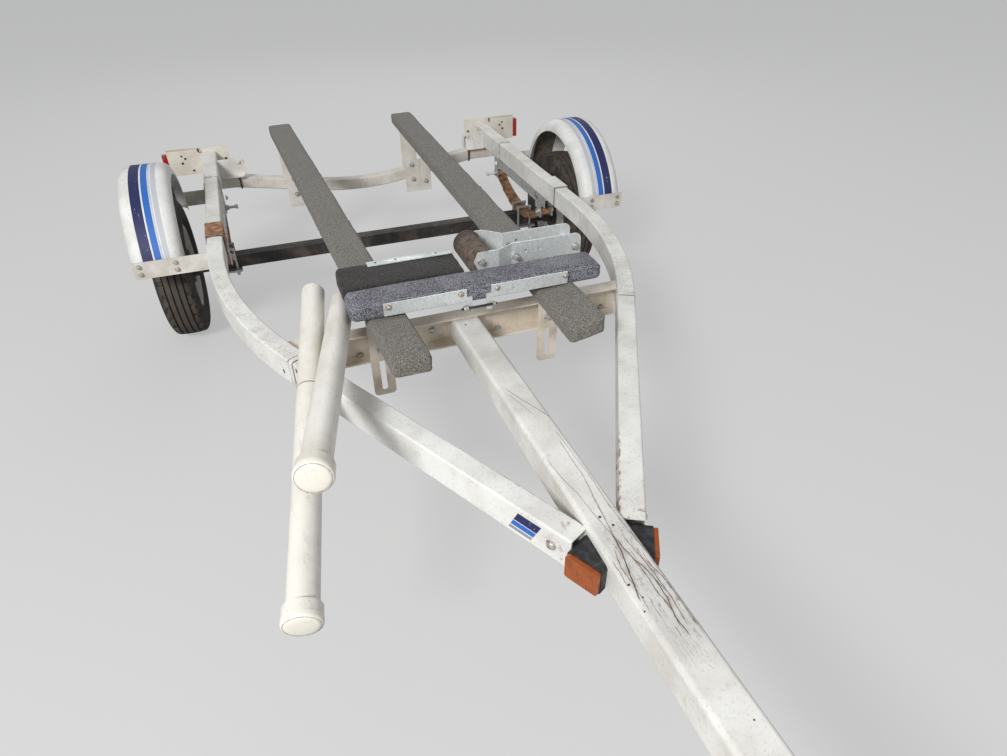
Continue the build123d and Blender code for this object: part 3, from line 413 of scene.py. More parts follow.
# the band's section in shares of the tube's half width and half height
lip_section = ((-1, -0.82), (-0.75, -1), (0.75, -1), (1, -0.82), (1, 0.82), (0.75, 1), (-0.75, 1), (-1, 0.82))
mesh = bmesh.new()
for side in (1, -1):
    start, forward, outward = arm_ways(side)
    seat = start + forward * lip_middle - Vector((0, 0, arm_half_height))
    where = Matrix.Translation(seat) @ Matrix((outward, forward, Vector((0, 0, 1)))).transposed().to_4x4()
    rings = []
    for run in (-lip_half, lip_half):
        for grow in (0.0017, 0.0002):
            wide, tall = arm_half + grow, arm_half_height + grow
            rings.append([mesh.verts.new(where @ Vector((x * wide, run, z * tall))) for x, z in lip_section])
    for first, second in ((0, 2), (0, 1), (2, 3)):
        join_rings(mesh, rings[second], rings[first])
finished(mesh, "arm_lips", lip_paint, 50)

# Tongue: a 3 inch square tube, tipped up a little towards the coupler. Its paint has split in long
# dark cracks that wander along its top, with rust and fine hairlines beside the deepest ones.
paint = outdoor_paint("tongue_paint", (0.77, 0.76, 0.72), (0.62, 0.60, 0.55), 0.10)
across, along, up = paint.axes()
tongue_fall = -0.0384
top_here = paint.minus(up, paint.times(along, tongue_fall))
on_top = paint.rise(top_here, 0.5277, 0.5307)
wander = paint.minus(paint.cloud(1.0, 5.0, 0.6, paint.turned(stretch=(9, 24, 9))), 0.5)
swayed = paint.plus(across, paint.times(wander, 0.007))
crack = near_crack = 0.0
# half the width of each crack, then its points from the rear forward as (y, x)
for half, points in (
        (0.0007, ((0.016, -0.020), (-0.130, 0.036))),
        (0.0005, ((-0.007, -0.021), (-0.095, 0.001))),
        (0.0004, ((-0.174, 0.024), (-0.250, 0.026), (-0.335, 0.0276), (-0.420, 0.0256), (-0.505, 0.0298),
                  (-0.590, 0.037))),
        (0.0005, ((-0.210, 0.018), (-0.330, 0.0155), (-0.388, 0.008), (-0.452, 0.0007), (-0.490, -0.0027))),
        (0.0004, ((-0.250, -0.030), (-0.314, -0.0265), (-0.370, -0.0155), (-0.428, -0.0121),
                  (-0.487, -0.0049))),
        (0.0011, ((-0.484, -0.0040), (-0.521, -0.0070), (-0.546, -0.0123), (-0.582, -0.0205),
                  (-0.628, -0.0295))),
        (0.0008, ((-0.490, -0.0035), (-0.524, -0.0005), (-0.552, 0.0039), (-0.568, 0.0102),
                  (-0.622, 0.0171))),
        (0.0009, ((-0.595, 0.0142), (-0.642, 0.0127), (-0.676, 0.0064), (-0.712, 0.0082))),
        (0.0006, ((-0.530, 0.0010), (-0.580, 0.0060), (-0.620, 0.0040), (-0.667, 0.0085), (-0.695, 0.0039))),
        (0.0006, ((-0.560, 0.022), (-0.610, 0.030), (-0.647, 0.031), (-0.700, 0.030))),
        (0.0005, ((-0.500, 0.012), (-0.560, 0.019), (-0.640, 0.020), (-0.690, 0.017))),
        (0.0004, ((-0.543, -0.0322), (-0.577, -0.0331), (-0.594, -0.0348))),
        (0.0004, ((-0.520, -0.018), (-0.560, -0.026), (-0.628, -0.0239), (-0.650, -0.0261))),
        (0.0006, ((-0.930, -0.006), (-1.120, 0.012))),
        (0.0006, ((-1.500, 0.010), (-1.760, 0.022)))):
    line = points[0][1]
    for (from_y, from_x), (to_y, to_x) in zip(points, points[1:]):
        step = paint.add("MapRange")
        paint.feed(step.inputs["Value"], along)
        for socket, value in zip(("From Min", "From Max", "To Max"), (from_y, to_y, to_x - from_x)):
            step.inputs[socket].default_value = value
        line = paint.plus(line, step.outputs["Result"])
    gap = paint.unsigned(paint.minus(swayed, line))
    length = paint.between(along, points[-1][0], points[0][0], 0.008)
    length = paint.both(length, on_top)
    crack = paint.either(crack, paint.both(length, paint.rise(gap, half * 1.3, half * 0.7)))
    near = paint.both(length, paint.rise(gap, half * 8.0, half))
    near_crack = paint.either(near_crack, near)
worst = paint.both(paint.between(along, -0.74, -0.46, 0.05), on_top)
hairs = paint.cloud(1.6, 3.0, 0.6, paint.turned(turn=(0, 0, radians(5)), stretch=(120, 6, 60)))
hairs = paint.rise(paint.offset(hairs, 0.5), 0.014, 0.004)
hairs = paint.both(hairs, paint.both(worst, paint.rise(across, -0.036, -0.012)))
patches = paint.patches(0.40, 0.62, 40.0, 6.0)
stain = paint.both(near_crack, patches)
stain = paint.both(stain, paint.rise(along, -0.28, -0.45))
chips = paint.both(paint.spots(across, along, (
    (-0.0051, -0.439, 0.0030), (0.0081, -0.466, 0.0028), (-0.0317, -0.595, 0.0024), (-0.0229, -0.626, 0.0016),
    (-0.0337, -0.650, 0.0016), (-0.0130, 0.352, 0.0030), (0.0150, -0.860, 0.0016))), on_top)
paint.mark(worst, (0.42, 0.42, 0.41), 0.34)
paint.mark(stain, (0.30, 0.175, 0.095), 0.50)
paint.mark(hairs, (0.12, 0.08, 0.055), 0.8)
paint.mark(crack, (0.040, 0.030, 0.027), 0.93)
paint.mark(chips, (0.030, 0.024, 0.020))
paint.on("tongue")

# Crossmembers. The front one is a folded channel that opens forward round the tongue's rear end,
# the rear one a square tube pressed down in its middle; both are cream with dirt and rust.
outdoor_paint("member_paint", (0.78, 0.71, 0.60), (0.64, 0.56, 0.45), 0.20, streaks=0.35,
              dirt=(0.26, 0.18, 0.12)).on("front_crossmember")
rear_member_paint = outdoor_paint("rear_member_paint", (0.72, 0.69, 0.63), (0.57, 0.52, 0.45), 0.18,
                                  streaks=0.35, dirt=(0.27, 0.20, 0.14))
rear_member_paint.on("rear_crossmember", "bunk_bracket_rear_right", "bunk_bracket_rear_left")

# five bolts on the front face of the channel's web
sheet_thickness = 0.005
web_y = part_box("front_crossmember")[1].y - sheet_thickness
zinc_bolts("crossmember_bolts", [
    ((x, web_y, z), (0, -1, 0), 0.016, 0.006, 0.011)
    for x, z in ((-0.303, 0.443), (-0.092, 0.478), (0.107, 0.440), (0.259, 0.441), (0.4466, 0.445))])

# Bolts of the rear bunk brackets: zinc hexagon bolts with washers, gone dull and a little rusty.
# Three sit on the front face of each plate.
plate_front_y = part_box("bunk_bracket_rear_right")[1].y - sheet_thickness
plate_corners = [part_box("bunk_bracket_rear_" + side)[0] for side in ("right", "left")]
zinc_bolts("rear_bracket_bolts", [
    ((low.x + dx, plate_front_y, low.z + dz), (0, -1, 0), 0.017, 0.007, 0.012)
    for low in plate_corners for dx, dz in ((0.045, 0.132), (0.048, 0.060), (0.110, 0.045))])

# Clamps of the rear crossmember: a square U-bolt round the tube beside each rail, and a dished saddle
# welded to the rail's inner side above it, painted over and rusty at the threads.


def rod(mesh, points, normal, radius, sides=10):
    """A round bar through points that lie in one plane, its two ends closed."""
    rings = []
    for index, point in enumerate(points):
        ahead = (points[min(index + 1, len(points) - 1)] - points[max(index - 1, 0)]).normalized()
        across = normal.cross(ahead)
        angles = [2 * pi * step / sides for step in range(sides)]
        rings.append([mesh.verts.new(point + radius * (cos(a) * across + sin(a) * normal)) for a in angles])
    for first, second in zip(rings, rings[1:]):
        join_rings(mesh, first, second)
    mesh.faces.new(rings[0])
    mesh.faces.new(rings[-1][::-1])


clamp_rust = mottled("clamp_rust", 0.75, 0.3, (0.085, 0.045, 0.028), (0.22, 0.12, 0.07),
                     (0.40, 0.62, 90.0, 6.0, 0.7), (400.0, 4.0, 0.0006, 0.6))
member_low, member_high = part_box("rear_crossmember")
tube_low, tube_high = member_high.z - 0.0508, member_high.z
clamp_x = 0.541
mesh = bmesh.new()
for side in (1, -1):
    # a leg from its top down and round its lower corner, as distance out from the tube and height
    leg = ((0.005, tube_high + 0.034), (0.005, tube_low + 0.004), (0.002, tube_low - 0.003),
           (-0.004, tube_low - 0.005))
    loop = [Vector((side * clamp_x, member_low.y - out, z)) for out, z in leg]
    loop += [Vector((side * clamp_x, member_high.y + out, z)) for out, z in reversed(leg)]
    rod(mesh, loop, Vector((1, 0, 0)), 0.0042)
    for y in (member_low.y - 0.005, member_high.y + 0.005):
        hex_head(mesh, (side * clamp_x, y, tube_high + 0.0068), (0, 0, 1), 0.014, 0.007, 0.0)
finished(mesh, "crossmember_u_bolts", clamp_rust)

saddle_paint = outdoor_paint("saddle_paint", (0.76, 0.75, 0.71), (0.60, 0.57, 0.52), 0.24)
rail_side_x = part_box("rail_right")[0].x - 0.001
plate_y = member_low.y - 0.012
rim_y = plate_y - 0.016
round_x, round_z, round_radius = 0.534, 0.4915, 0.026
# the dish's outline in x and z, from its rail side over the top and round
outline = [(rail_side_x, 0.545), (rail_side_x, 0.470), (0.604, 0.4655), (0.548, 0.4655)]
for angle in (pi / 12 * step for step in range(7)):
    outline.append((round_x - round_radius * sin(angle), round_z - round_radius * cos(angle)))
outline += [(0.508, 0.528), (0.516, 0.540), (0.528, 0.545)]
# its turned rim runs along the foot and up the round end
outer = outline[1:13]
inner = [Vector(point) + (Vector((0.56, 0.51)) - Vector(point)).normalized() * 0.0035 for point in outer]
mesh = bmesh.new()
for side in (1, -1):
    front, back = [[mesh.verts.new((side * x, y, z)) for x, z in outline] for y in (plate_y, plate_y + 0.004)]
    mesh.faces.new(front)
    mesh.faces.new(back[::-1])
    join_rings(mesh, front, back)
    rows = [[mesh.verts.new((side * x, y, z)) for x, z in line]
            for line, y in ((outer, plate_y), (outer, rim_y), (inner, rim_y), (inner, plate_y))]
    for first, second in zip(rows, rows[1:]):
        join_rings(mesh, first, second, 1)
    for index in (0, -1):
        mesh.faces.new([row[index] for row in rows])
    hex_head(mesh, (side * 0.532, plate_y, 0.530), (0, -1, 0), 0.015, 0.007, 0.010)
finished(mesh, "crossmember_saddles", saddle_paint, 40)

# Front bunk brackets: flat galvanised bars with a long slot near the foot, painted over in cream.
# Two zinc bolts hold each one to the front crossmember.
outdoor_paint("strap_paint", (0.68, 0.61, 0.51), (0.42, 0.35, 0.28), 0.30).on("bunk_brackets_front")
bar_x = 0.25
bar_front_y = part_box("bunk_brackets_front")[1].y - sheet_thickness
zinc_bolts("front_bracket_bolts", [
    ((side * bar_x, bar_front_y, z), (0, -1, 0), 0.017, 0.007, 0.012)
    for side in (1, -1) for z in (0.475, 0.505)])

# Fenders: sheet steel rolled over the wheel, white outside, with a sticker of navy and blue bands
# that runs round the whole arch. The navy band has faded and flaked. Inside they are bare and dark.
arch_low, arch_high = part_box("fender_right")
fender_y = (arch_low.y + arch_high.y) / 2
fender_radius = 0.33
fender_centre_z = arch_high.z - fender_radius
paint = outdoor_paint("fender_paint", (0.78, 0.775, 0.75), (0.64, 0.635, 0.61), 0.03)
across, along, up = paint.axes()
from_outside = paint.minus(arch_high.x, paint.unsigned(across))
share = paint.reckon("DIVIDE", from_outside, arch_high.x - arch_low.x)
worn = paint.cloud(1.0, 6.0, 0.75, paint.turned(stretch=(70, 12, 12)))
fine_worn = paint.cloud(210.0, 4.0, 0.7)
navy_left = paint.rise(paint.plus(worn, paint.times(fine_worn, 0.5)), 0.96, 0.90)
banded = paint.tone
# start and end in shares of the width from outside, ink, what is left of it
for start, end, ink, keep in (
        (0.25, 0.445, (0.012, 0.018, 0.092), navy_left),
        (0.475, 0.600, (0.022, 0.13, 0.46), None),
        (0.615, 0.622, (0.10, 0.20, 0.45), None),
        (0.632, 0.638, (0.16, 0.24, 0.42), None),
        (0.660, 0.760, (0.48, 0.50, 0.52), None)):
    band = paint.between(share, start, end, 0.002)
    if keep is not None:
        band = paint.both(band, keep)
    banded = paint.over(band, banded, ink)
reach = paint.reach(along, up, fender_y, fender_centre_z)
outside = paint.rise(reach, fender_radius - 0.0012, fender_radius - 0.0008)
middle = paint.between(share, 0.22, 0.78, 0.001)
banded_part = paint.both(outside, middle)
inside = paint.both(paint.rise(reach, fender_radius - 0.0008, fender_radius - 0.0012), middle)
paint.mark(banded_part, banded)
lining = paint.over(paint.patches(0.38, 0.66, 16.0, 6.0, 0.7), (0.085, 0.072, 0.060), (0.20, 0.165, 0.13))
paint.mark(inside, lining)
paint.on("fender_right", "fender_left")

# Fender brackets: flat steel bars, painted cream and dirty. They are welded to the frame and carry
# the two ends of each fender, with four zinc bolts on every bracket.
fender_bracket_paint = outdoor_paint("fender_bracket_paint", (0.72, 0.69, 0.64), (0.54, 0.49, 0.43), 0.2)
fender_bracket_paint.on("fender_bracket_front_right", "fender_bracket_front_left",
                        "fender_bracket_rear_right", "fender_bracket_rear_left")
heads = []
for name, way in (("fender_bracket_front_right", -1), ("fender_bracket_rear_right", 1)):
    low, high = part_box(name)
    face_y = low.y if way < 0 else high.y
    for x, dz in ((0.790, 0.017), (0.790, 0.044), (0.905, 0.017), (0.905, 0.044)):
        for side in (1, -1):
            heads.append(((side * x, face_y, low.z + dz), (0, way, 0), 0.013, 0.005, 0.009))
zinc_bolts("fender_bolts", heads)

# Light plates and tail lamps: folded plates across the rails' ends, with punched holes for lamps
# and wires, and a red square lamp screwed on behind.
paint = outdoor_paint("plate_paint", (0.74, 0.70, 0.61), (0.59, 0.54, 0.46), 0.24)
across, along, up = paint.axes()
plate_low, plate_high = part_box("light_plate_right")
outward = paint.unsigned(across)
# the turned top lip has yellowed towards its outer end
lip = paint.both(paint.rise(up, plate_high.z - 0.004, plate_high.z - 0.002), paint.rise(outward, 0.66, 0.76))
paint.mark(lip, (0.46, 0.36, 0.17), 0.7)
holes = paint.spots(outward, up, (
    (0.7667, 0.5374, 0.0045), (0.7537, 0.5252, 0.0050), (0.7691, 0.5058, 0.0055), (0.5830, 0.5085, 0.0060),
    (0.5830, 0.4760, 0.0060), (0.7300, 0.4700, 0.0050)))
paint.mark(holes, (0.02, 0.016, 0.013))
paint.on("light_plate_right", "light_plate_left")

# a ring of bent wire through each plate, once for the lamp's cable
mesh = bmesh.new()
for side in (1, -1):
    middle = Vector((side * 0.692, plate_low.y - 0.0085, plate_high.z - 0.006))
    angles = [2 * pi * step / 20 for step in range(21)]
    ring = [middle + 0.0078 * Vector((0.35 * side * cos(a), cos(a) * 0.9, sin(a))) for a in angles]
    rod(mesh, ring, Vector((0.93 * side, -0.36, 0)).normalized(), 0.0020, 8)
finished(mesh, "cable_rings", clamp_rust)

mottled("lamp_black", 0.5, 0.0, (0.011, 0.0115, 0.013), (0.042, 0.042, 0.043),
        (0.4, 0.7, 60.0), (900.0, 2.0, 0.0003, 0.4)).on("side_lamps")


def lens(name, clear, deep, grime, ribs_per_metre, across_axis):
    """A moulded lamp lens: fine upright ribs behind a smooth face, with dust in the corners."""
    made = Finish(name, 0.22)
    place = made.turned(turn=across_axis)
    rib = made.reckon("SINE", made.times(made.axes(place)[0], ribs_per_metre * 2 * pi))
    made.colour(made.over(made.rise(rib, -1.4, 1.8), deep, clear))
    dust = made.patches(0.44, 0.68, 46.0, 6.0, 0.7)
    made.mark(dust, grime, 0.5)
    made.gloss(dust, 0.20, 0.60)
    made.relief(rib, 0.0003, 0.08)
    made.shader.inputs["Coat Weight"].default_value = 0.3
    made.shader.inputs["Coat Roughness"].default_value = 0.12
    return made


lens("red_lens", (0.50, 0.020, 0.014), (0.25, 0.008, 0.006), (0.20, 0.06, 0.04), 180,
     (0, 0, 0)).on("tail_lamp_right", "tail_lamp_left")

# Running gear: a square axle beam in chipped black paint, bare leaf springs that have rusted brown,
# and zinc channels that carry the springs under the rails, with clamps round the axle.
leaf = Finish("spring_rust", 0.82, 0.25)
leaf.colour(leaf.over(leaf.patches(0.36, 0.64, 34.0, 7.0, 0.7), (0.17, 0.075, 0.038), (0.44, 0.25, 0.13)))
leaf.mark(leaf.patches(0.58, 0.7, 9.0, 3.0), (0.09, 0.06, 0.05))
leaf.relief(leaf.cloud(420.0, 5.0), 0.0008, 0.6)
leaf.on("leaf_spring_right", "leaf_spring_left")

zinc = Finish("channel_zinc", 0.5, 0.75)
spangle = zinc.cells(160.0)
zinc.colour(zinc.over(zinc.rise(spangle, 0.1, 0.8), (0.46, 0.48, 0.48), (0.60, 0.62, 0.61)))
zinc_rust = zinc.patches(0.52, 0.7, 26.0, 6.0, 0.7)
zinc.mark(zinc_rust, (0.26, 0.13, 0.07))
zinc.gloss(zinc_rust, 0.45, 0.85)
zinc.relief(zinc.cloud(500.0), 0.0004, 0.4)
zinc.on("spring_hanger_right", "spring_hanger_left", "axle_clamp_right", "axle_clamp_left")

axle_black = Finish("axle_black", 0.6, 0.2)
chipped = axle_black.patches(0.58, 0.66, 55.0, 7.0, 0.72)
grimy = axle_black.patches(0.4, 0.7, 12.0)
axle_black.colour(axle_black.over(grimy, (0.028, 0.026, 0.025), (0.09, 0.075, 0.06)))
axle_black.mark(chipped, (0.20, 0.09, 0.045))
axle_black.relief(chipped, 0.0006, -0.5)
axle_black.on("axle", "hub_right", "hub_left")

# Nuts on the spring eye bolts: zinc hexagon nuts with washers, outside both ears of each hanger, at
# the front and the rear eye of each spring.
hanger_low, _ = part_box("spring_hanger_right")
axle_low, axle_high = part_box("axle")
axle_y = (axle_low.y + axle_high.y) / 2
eye_z = hanger_low.z + 0.020
spring_x, half_spring, half_hanger = 0.648, 0.262, 0.0282
zinc_bolts("spring_eye_nuts", [
    ((side * (spring_x + way * half_hanger), eye_y, eye_z), (side * way, 0, 0), 0.022, 0.010, 0.014)
    for eye_y in (axle_y - half_spring, axle_y + half_spring) for side in (1, -1) for way in (1, -1)])

# Long bolts in the rear eyes: steel, painted with the frame. They stick out towards the middle, and
# one more head sits a little above and ahead of each on the hanger's inner side.
mesh = bmesh.new()
for side in (1, -1):
    disc(mesh, tipped((side * 0.594, axle_y + half_spring, eye_z), "Y"), 0.0062, 0.036, 16)
    hex_head(mesh, (side * 0.582, axle_y + half_spring, eye_z), (-side, 0, 0), 0.020, 0.009, 0.0)
    seat = Vector((side * (hanger_low.x - 0.001), axle_y + 0.232, 0.447))
    hex_head(mesh, seat, (-side, 0, 0), 0.017, 0.008, 0.012)
finished(mesh, "long_eye_bolts", saddle_paint)

# Wheels: pressed steel discs and rims, sprayed white once. Rust has come through round the bolt
# circle and along the rim's edge.
paint = outdoor_paint("wheel_paint", (0.72, 0.71, 0.68), (0.52, 0.50, 0.46), 0.2)
_, along, up = paint.axes()
axle_z = (axle_low.z + axle_high.z) / 2
from_axle = paint.reach(along, up, axle_y, axle_z)
ragged = paint.plus(from_axle, paint.times(paint.cloud(36.0, 5.0), 0.03))
rim_rust = paint.either(paint.rise(ragged, 0.172, 0.180), paint.rise(ragged, 0.088, 0.075))
paint.mark(rim_rust, (0.24, 0.12, 0.065), 0.8)
paint.on("wheel_right", "wheel_left")

# Tyres: 5.30-12 cross-ply trailer tyres, brown-black and worn, with four straight grooves, small
# slots across the shoulders and a plain side wall with moulded rings.
rubber = Finish("tyre_rubber", 0.78)
_, along, up = rubber.axes()
from_axle = rubber.reach(along, up, axle_y, axle_z)
dusty = rubber.patches(0.42, 0.7, 18.0, 7.0, 0.7)
rubber.colour(rubber.over(dusty, (0.024, 0.022, 0.021), (0.085, 0.068, 0.052)))
tread_dust = rubber.rise(from_axle, 0.255, 0.266)
rubber.mark(tread_dust, (0.11, 0.088, 0.066), 0.45)
crazed = rubber.cells(130.0, feature="DISTANCE_TO_EDGE")
rubber.relief(rubber.rise(crazed, 0.0, 0.06), 0.0006, 0.35)

rubber_low, rubber_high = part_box("tyre_right")
tyre_mid_x = (rubber_low.x + rubber_high.x) / 2
tyre_radius = (rubber_high.z - rubber_low.z) / 2
groove_depth = 0.007
groove_half = 0.0032
grooves = (-0.033, -0.0115, 0.0115, 0.033)
half_tread = 0.049


def crown(x):
    return tyre_radius - 0.0005 - 0.004 * (x / half_tread) ** 2


# the cross-section as x and radius: one side wall, the tread, the other side wall and the inside
side_wall = [(-0.0514, 0.1532), (-0.0515, 0.1680), (-0.0560, 0.1720), (-0.0630, 0.1850),
             (-0.0655, 0.1900), (-0.0662, 0.1918), (-0.0672, 0.1918), (-0.0686, 0.2050),
             (-0.0689, 0.2130), (-0.0682, 0.2260), (-0.0660, 0.2380), (-0.0652, 0.2392),
             (-0.0652, 0.2412), (-0.0615, 0.2500), (-0.0560, 0.2590), (-half_tread, crown(half_tread))]
outline = list(side_wall)
for middle_x in grooves:
    for x, depth in ((middle_x - groove_half, 0), (middle_x - groove_half * 0.7, groove_depth),
                     (middle_x + groove_half * 0.7, groove_depth), (middle_x + groove_half, 0)):
        outline.append((x, crown(x) - depth))
outline += [(-x, r) for x, r in reversed(side_wall)]
lining = ((0.040, 0.1532), (0.045, 0.195), (0.050, 0.225), (0.036, 0.246))
outline += [*lining, *((-x, r) for x, r in reversed(lining))]
around = 96
for side, name in ((1, "tyre_right"), (-1, "tyre_left")):
    mesh = bmesh.new()
    middle = Vector((tyre_mid_x, axle_y, axle_z))
    corners = [mesh.verts.new(middle + Vector((x, 0, r))) for x, r in outline]
    loop = [mesh.edges.new((corners[i], corners[(i + 1) % len(corners)])) for i in range(len(corners))]
    bmesh.ops.spin(mesh, geom=corners + loop, cent=middle, axis=(1, 0, 0), angle=2 * pi, steps=around,
                   use_merge=True)
    # a slot is cut across the shoulder at every third step round the tyre
    slots = []
    for face in mesh.faces:
        mid = face.calc_center_median() - middle
        turn = atan2(mid.y, mid.z)
        on_shoulder = 0.036 < abs(mid.x) < 0.0555 and sqrt(mid.y ** 2 + mid.z ** 2) > 0.255
        if on_shoulder and int((turn + pi) / (2 * pi) * around + 0.5) % 3 == 0:
            slots.append(face)
    bmesh.ops.inset_region(mesh, faces=slots, thickness=0.0014, depth=0.0, use_even_offset=True)
    for face in slots:
        for vert in face.verts:
            out = vert.co - middle
            out.x = 0
            if not vert.tag:
                vert.co -= out.normalized() * 0.004
                vert.tag = True
    if side < 0:
        bmesh.ops.transform(mesh, matrix=Matrix.Diagonal((-1, 1, 1, 1)), verts=mesh.verts)
    side_name = name.split("_")[1]
    tyre = finished(mesh, "tread_" + side_name, rubber, 40, "wheel_assembly_" + side_name)
    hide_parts(name)

# Bunks: boards wrapped in outdoor carpet, faded to a weathered grey with a short, matted pile. The
# carpet is folded over the board's ends and stapled below.


def carpet(name, light, dark, tuft, stain, rows=0.0, flecks=0.0):
    """Outdoor carpet: tufts or loops in rows, faded in patches and darker in the low places."""
    cloth = Finish(name, 0.95)
    if rows:
        # loops in rows along the board, each row a little uneven
        sway = cloth.times(cloth.cloud(30.0, 2.0), 0.006)
        along, across, up = cloth.axes()
        swayed = cloth.joined("CombineXYZ", along, cloth.plus(across, sway), up)
        loops = cloth.cells(rows, swayed, uneven=0.55)
        row = cloth.reckon("SINE", cloth.times(cloth.plus(across, up), rows * 2 * pi))
        height = cloth.minus(cloth.times(row, 0.10), loops)
        bright = cloth.rise(height, -0.62, -0.24)
    else:
        height = cloth.minus(cloth.cloud(tuft * 0.9, 2.0, 0.6), cloth.times(cloth.cells(tuft), 0.45))
        bright = cloth.rise(height, 0.14, 0.42)
    low, high = (0.18, 0.52) if rows else (0.36, 0.58)
    bright = cloth.both(bright, cloth.patches(low, high, tuft, 3.0, 0.75))
    cloth.colour(cloth.over(bright, dark, light))
    faded = cloth.patches(0.46, 0.72, 7.0, 6.0, 0.7)
    cloth.mark(faded, stain, 0.2 if rows else 0.45)
    if flecks:
        threads = cloth.turned(turn=(0.3, 0.2, 0.5), stretch=(190, 60, 190))
        straw = cloth.rise(cloth.cloud(1.0, 2.0, 0.5, threads), 0.70, 0.74)
        cloth.mark(straw, (0.34, 0.29, 0.20), flecks)
    cloth.relief(height, 0.0024, 0.8)
    cloth.shader.inputs["Sheen Weight"].default_value = 0.1
    cloth.shader.inputs["Sheen Roughness"].default_value = 0.5
    return cloth


def wrapped_board(name, node, finish, start, end, width, height, corner, lump, seed,
                  round_end=0.02, creases=(), crumbled=0.0, twist=0.0):
    """A carpeted board from start to end, with rounded edges, lumps and creases, twisted at its start."""
    run = end - start
    steps = max(int(run.length / 0.014), 8)
    mesh = bmesh.new()
    bmesh.ops.create_cube(mesh, size=1.0)
    bmesh.ops.scale(mesh, vec=(width, run.length, height), verts=mesh.verts)
    lengthwise = [e for e in mesh.edges if abs((e.verts[0].co - e.verts[1].co).normalized().y) > 0.9]
    rounded(mesh, lengthwise, corner, 4)
    caps = [e for e in mesh.edges if abs(e.verts[0].co.y - e.verts[1].co.y) < 1e-5 and
            len({f.normal.y > 0.5 or f.normal.y < -0.5 for f in e.link_faces}) == 2]
    rounded(mesh, caps, round_end, 4)
    # cuts across the board and along it give the lumps enough points
    flat_length, flat_width, strips = run.length - 2 * round_end, width - 2 * corner, 8
    cuts = [((0, flat_length * (index / steps - 0.5), 0), (0, 1, 0)) for index in range(1, steps)]
    cuts += [((flat_width * (index / strips - 0.5), 0, 0), (1, 0, 0)) for index in range(1, strips)]
    for place, way in cuts:
        bmesh.ops.bisect_plane(mesh, geom=[*mesh.verts, *mesh.edges, *mesh.faces], plane_co=place,
                               plane_no=way)
    mesh.normal_update()
    for vert in mesh.verts:
        from_start = vert.co.y + run.length / 2
        from_end = min(from_start, run.length - from_start)
        at = vert.co + Vector((seed, 0, 0))
        fold = noise.noise(at * 9) + 0.5 * noise.noise(at * 31)
        down = 0.25 if vert.normal.z < -0.3 else 1.0
        push = fold * lump * down
        # the ends are worn round and crumbled
        worn = max(0.0, 1 - from_end / 0.045)
        share = crumbled if vert.co.y < 0 else crumbled * 0.3
        push += share * worn * (noise.noise(at * 58) * 1.2 + noise.noise(at * 120) * 0.7 - 0.35) * down
        corner_share = min(1.0, abs(vert.co.x) / (width / 2)) ** 6
        vert.co.y += (1 if vert.co.y < 0 else -1) * share * 1.9 * worn * corner_share
        # a crease is a lap of carpet: a low ridge with a dip on its far side
        for crease in creases:
            step = (from_start - crease + vert.co.x * 0.12) / 0.012
            if abs(step) < 2.5 and down == 1.0:
                push += 0.0024 * (1 - min(1.0, abs(step))) - 0.0014 * max(0.0, 1 - abs(step - 1.5))
        vert.co += vert.normal * push
        turned = twist * max(0.0, 1 - from_start / 0.60)
        vert.co.z += vert.co.x * sin(turned)
    heading = Vector((0, 1, 0)).rotation_difference(run.normalized()).to_matrix().to_4x4()
    bmesh.ops.transform(mesh, matrix=Matrix.Translation((start + end) / 2) @ heading, verts=mesh.verts)
    piece = finished(mesh, name, finish, 60)
    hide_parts(node)
    return piece


bunk_carpet = carpet("bunk_carpet", (0.38, 0.355, 0.305), (0.085, 0.079, 0.068), 430.0,
                     (0.155, 0.142, 0.124))
bunk_width = 0.097
bunk_height = 0.046
# side, node, where the creases lie from the front end, twist at the front end in degrees
for side, name, creases, twist in ((1, "bunk_right", (0.62, 1.00, 1.33), 11),
                                   (-1, "bunk_left", (0.86, 1.30, 1.345), -2)):
    low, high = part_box(name)
    lean = (high.x - low.x) - bunk_width
    near_x = low.x + bunk_width / 2 if side > 0 else high.x - bunk_width / 2
    level = (low.z + high.z) / 2
    front, rear = Vector((near_x, low.y, level)), Vector((near_x + side * lean, high.y, level))
    wrapped_board("carpet_" + name, name, bunk_carpet, front, rear, bunk_width, bunk_height,
                  corner=0.010, lump=0.0018, seed=side * 3.7, round_end=0.010, creases=creases,
                  crumbled=0.0032, twist=radians(twist))

# Cross pads: two more carpeted boards across the bunks. The front one is newer and blue-grey, in a
# speckled ribbed weave; the rear one is dark and matted, with a galvanised strip along its far edge.
pad_carpet = carpet("pad_carpet", (0.36, 0.36, 0.40), (0.050, 0.049, 0.062), 330.0, (0.115, 0.112, 0.125),
                    rows=290.0)
dark_carpet = carpet("dark_carpet", (0.046, 0.040, 0.035), (0.010, 0.009, 0.008), 260.0,
                     (0.026, 0.022, 0.018), flecks=0.4)
# which pad, its carpet and slot, the lumps' height, seed, fill, how far the ends are rounded and crumbled
for which, finish, slot, lump, seed, fill, round_end, crumbled in (
        ("front", pad_carpet, "blue_grey_carpet", 0.0018, 11.3, 0.9, 0.016, 0.0022),
        ("rear", dark_carpet, "dark_carpet", 0.0026, 23.1, 0.85, 0.012, 0.0034)):
    low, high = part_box("cross_pad_" + which)
    left, right = [Vector((x, (low.y + high.y) / 2, (low.z + high.z) / 2)) for x in (low.x, high.x)]
    wrapped_board("carpet_pad_" + which, "cross_pad_" + which, finish, left, right, high.y - low.y,
                  high.z - low.z, corner=0.012, lump=lump, seed=seed, round_end=round_end,
                  crumbled=crumbled)


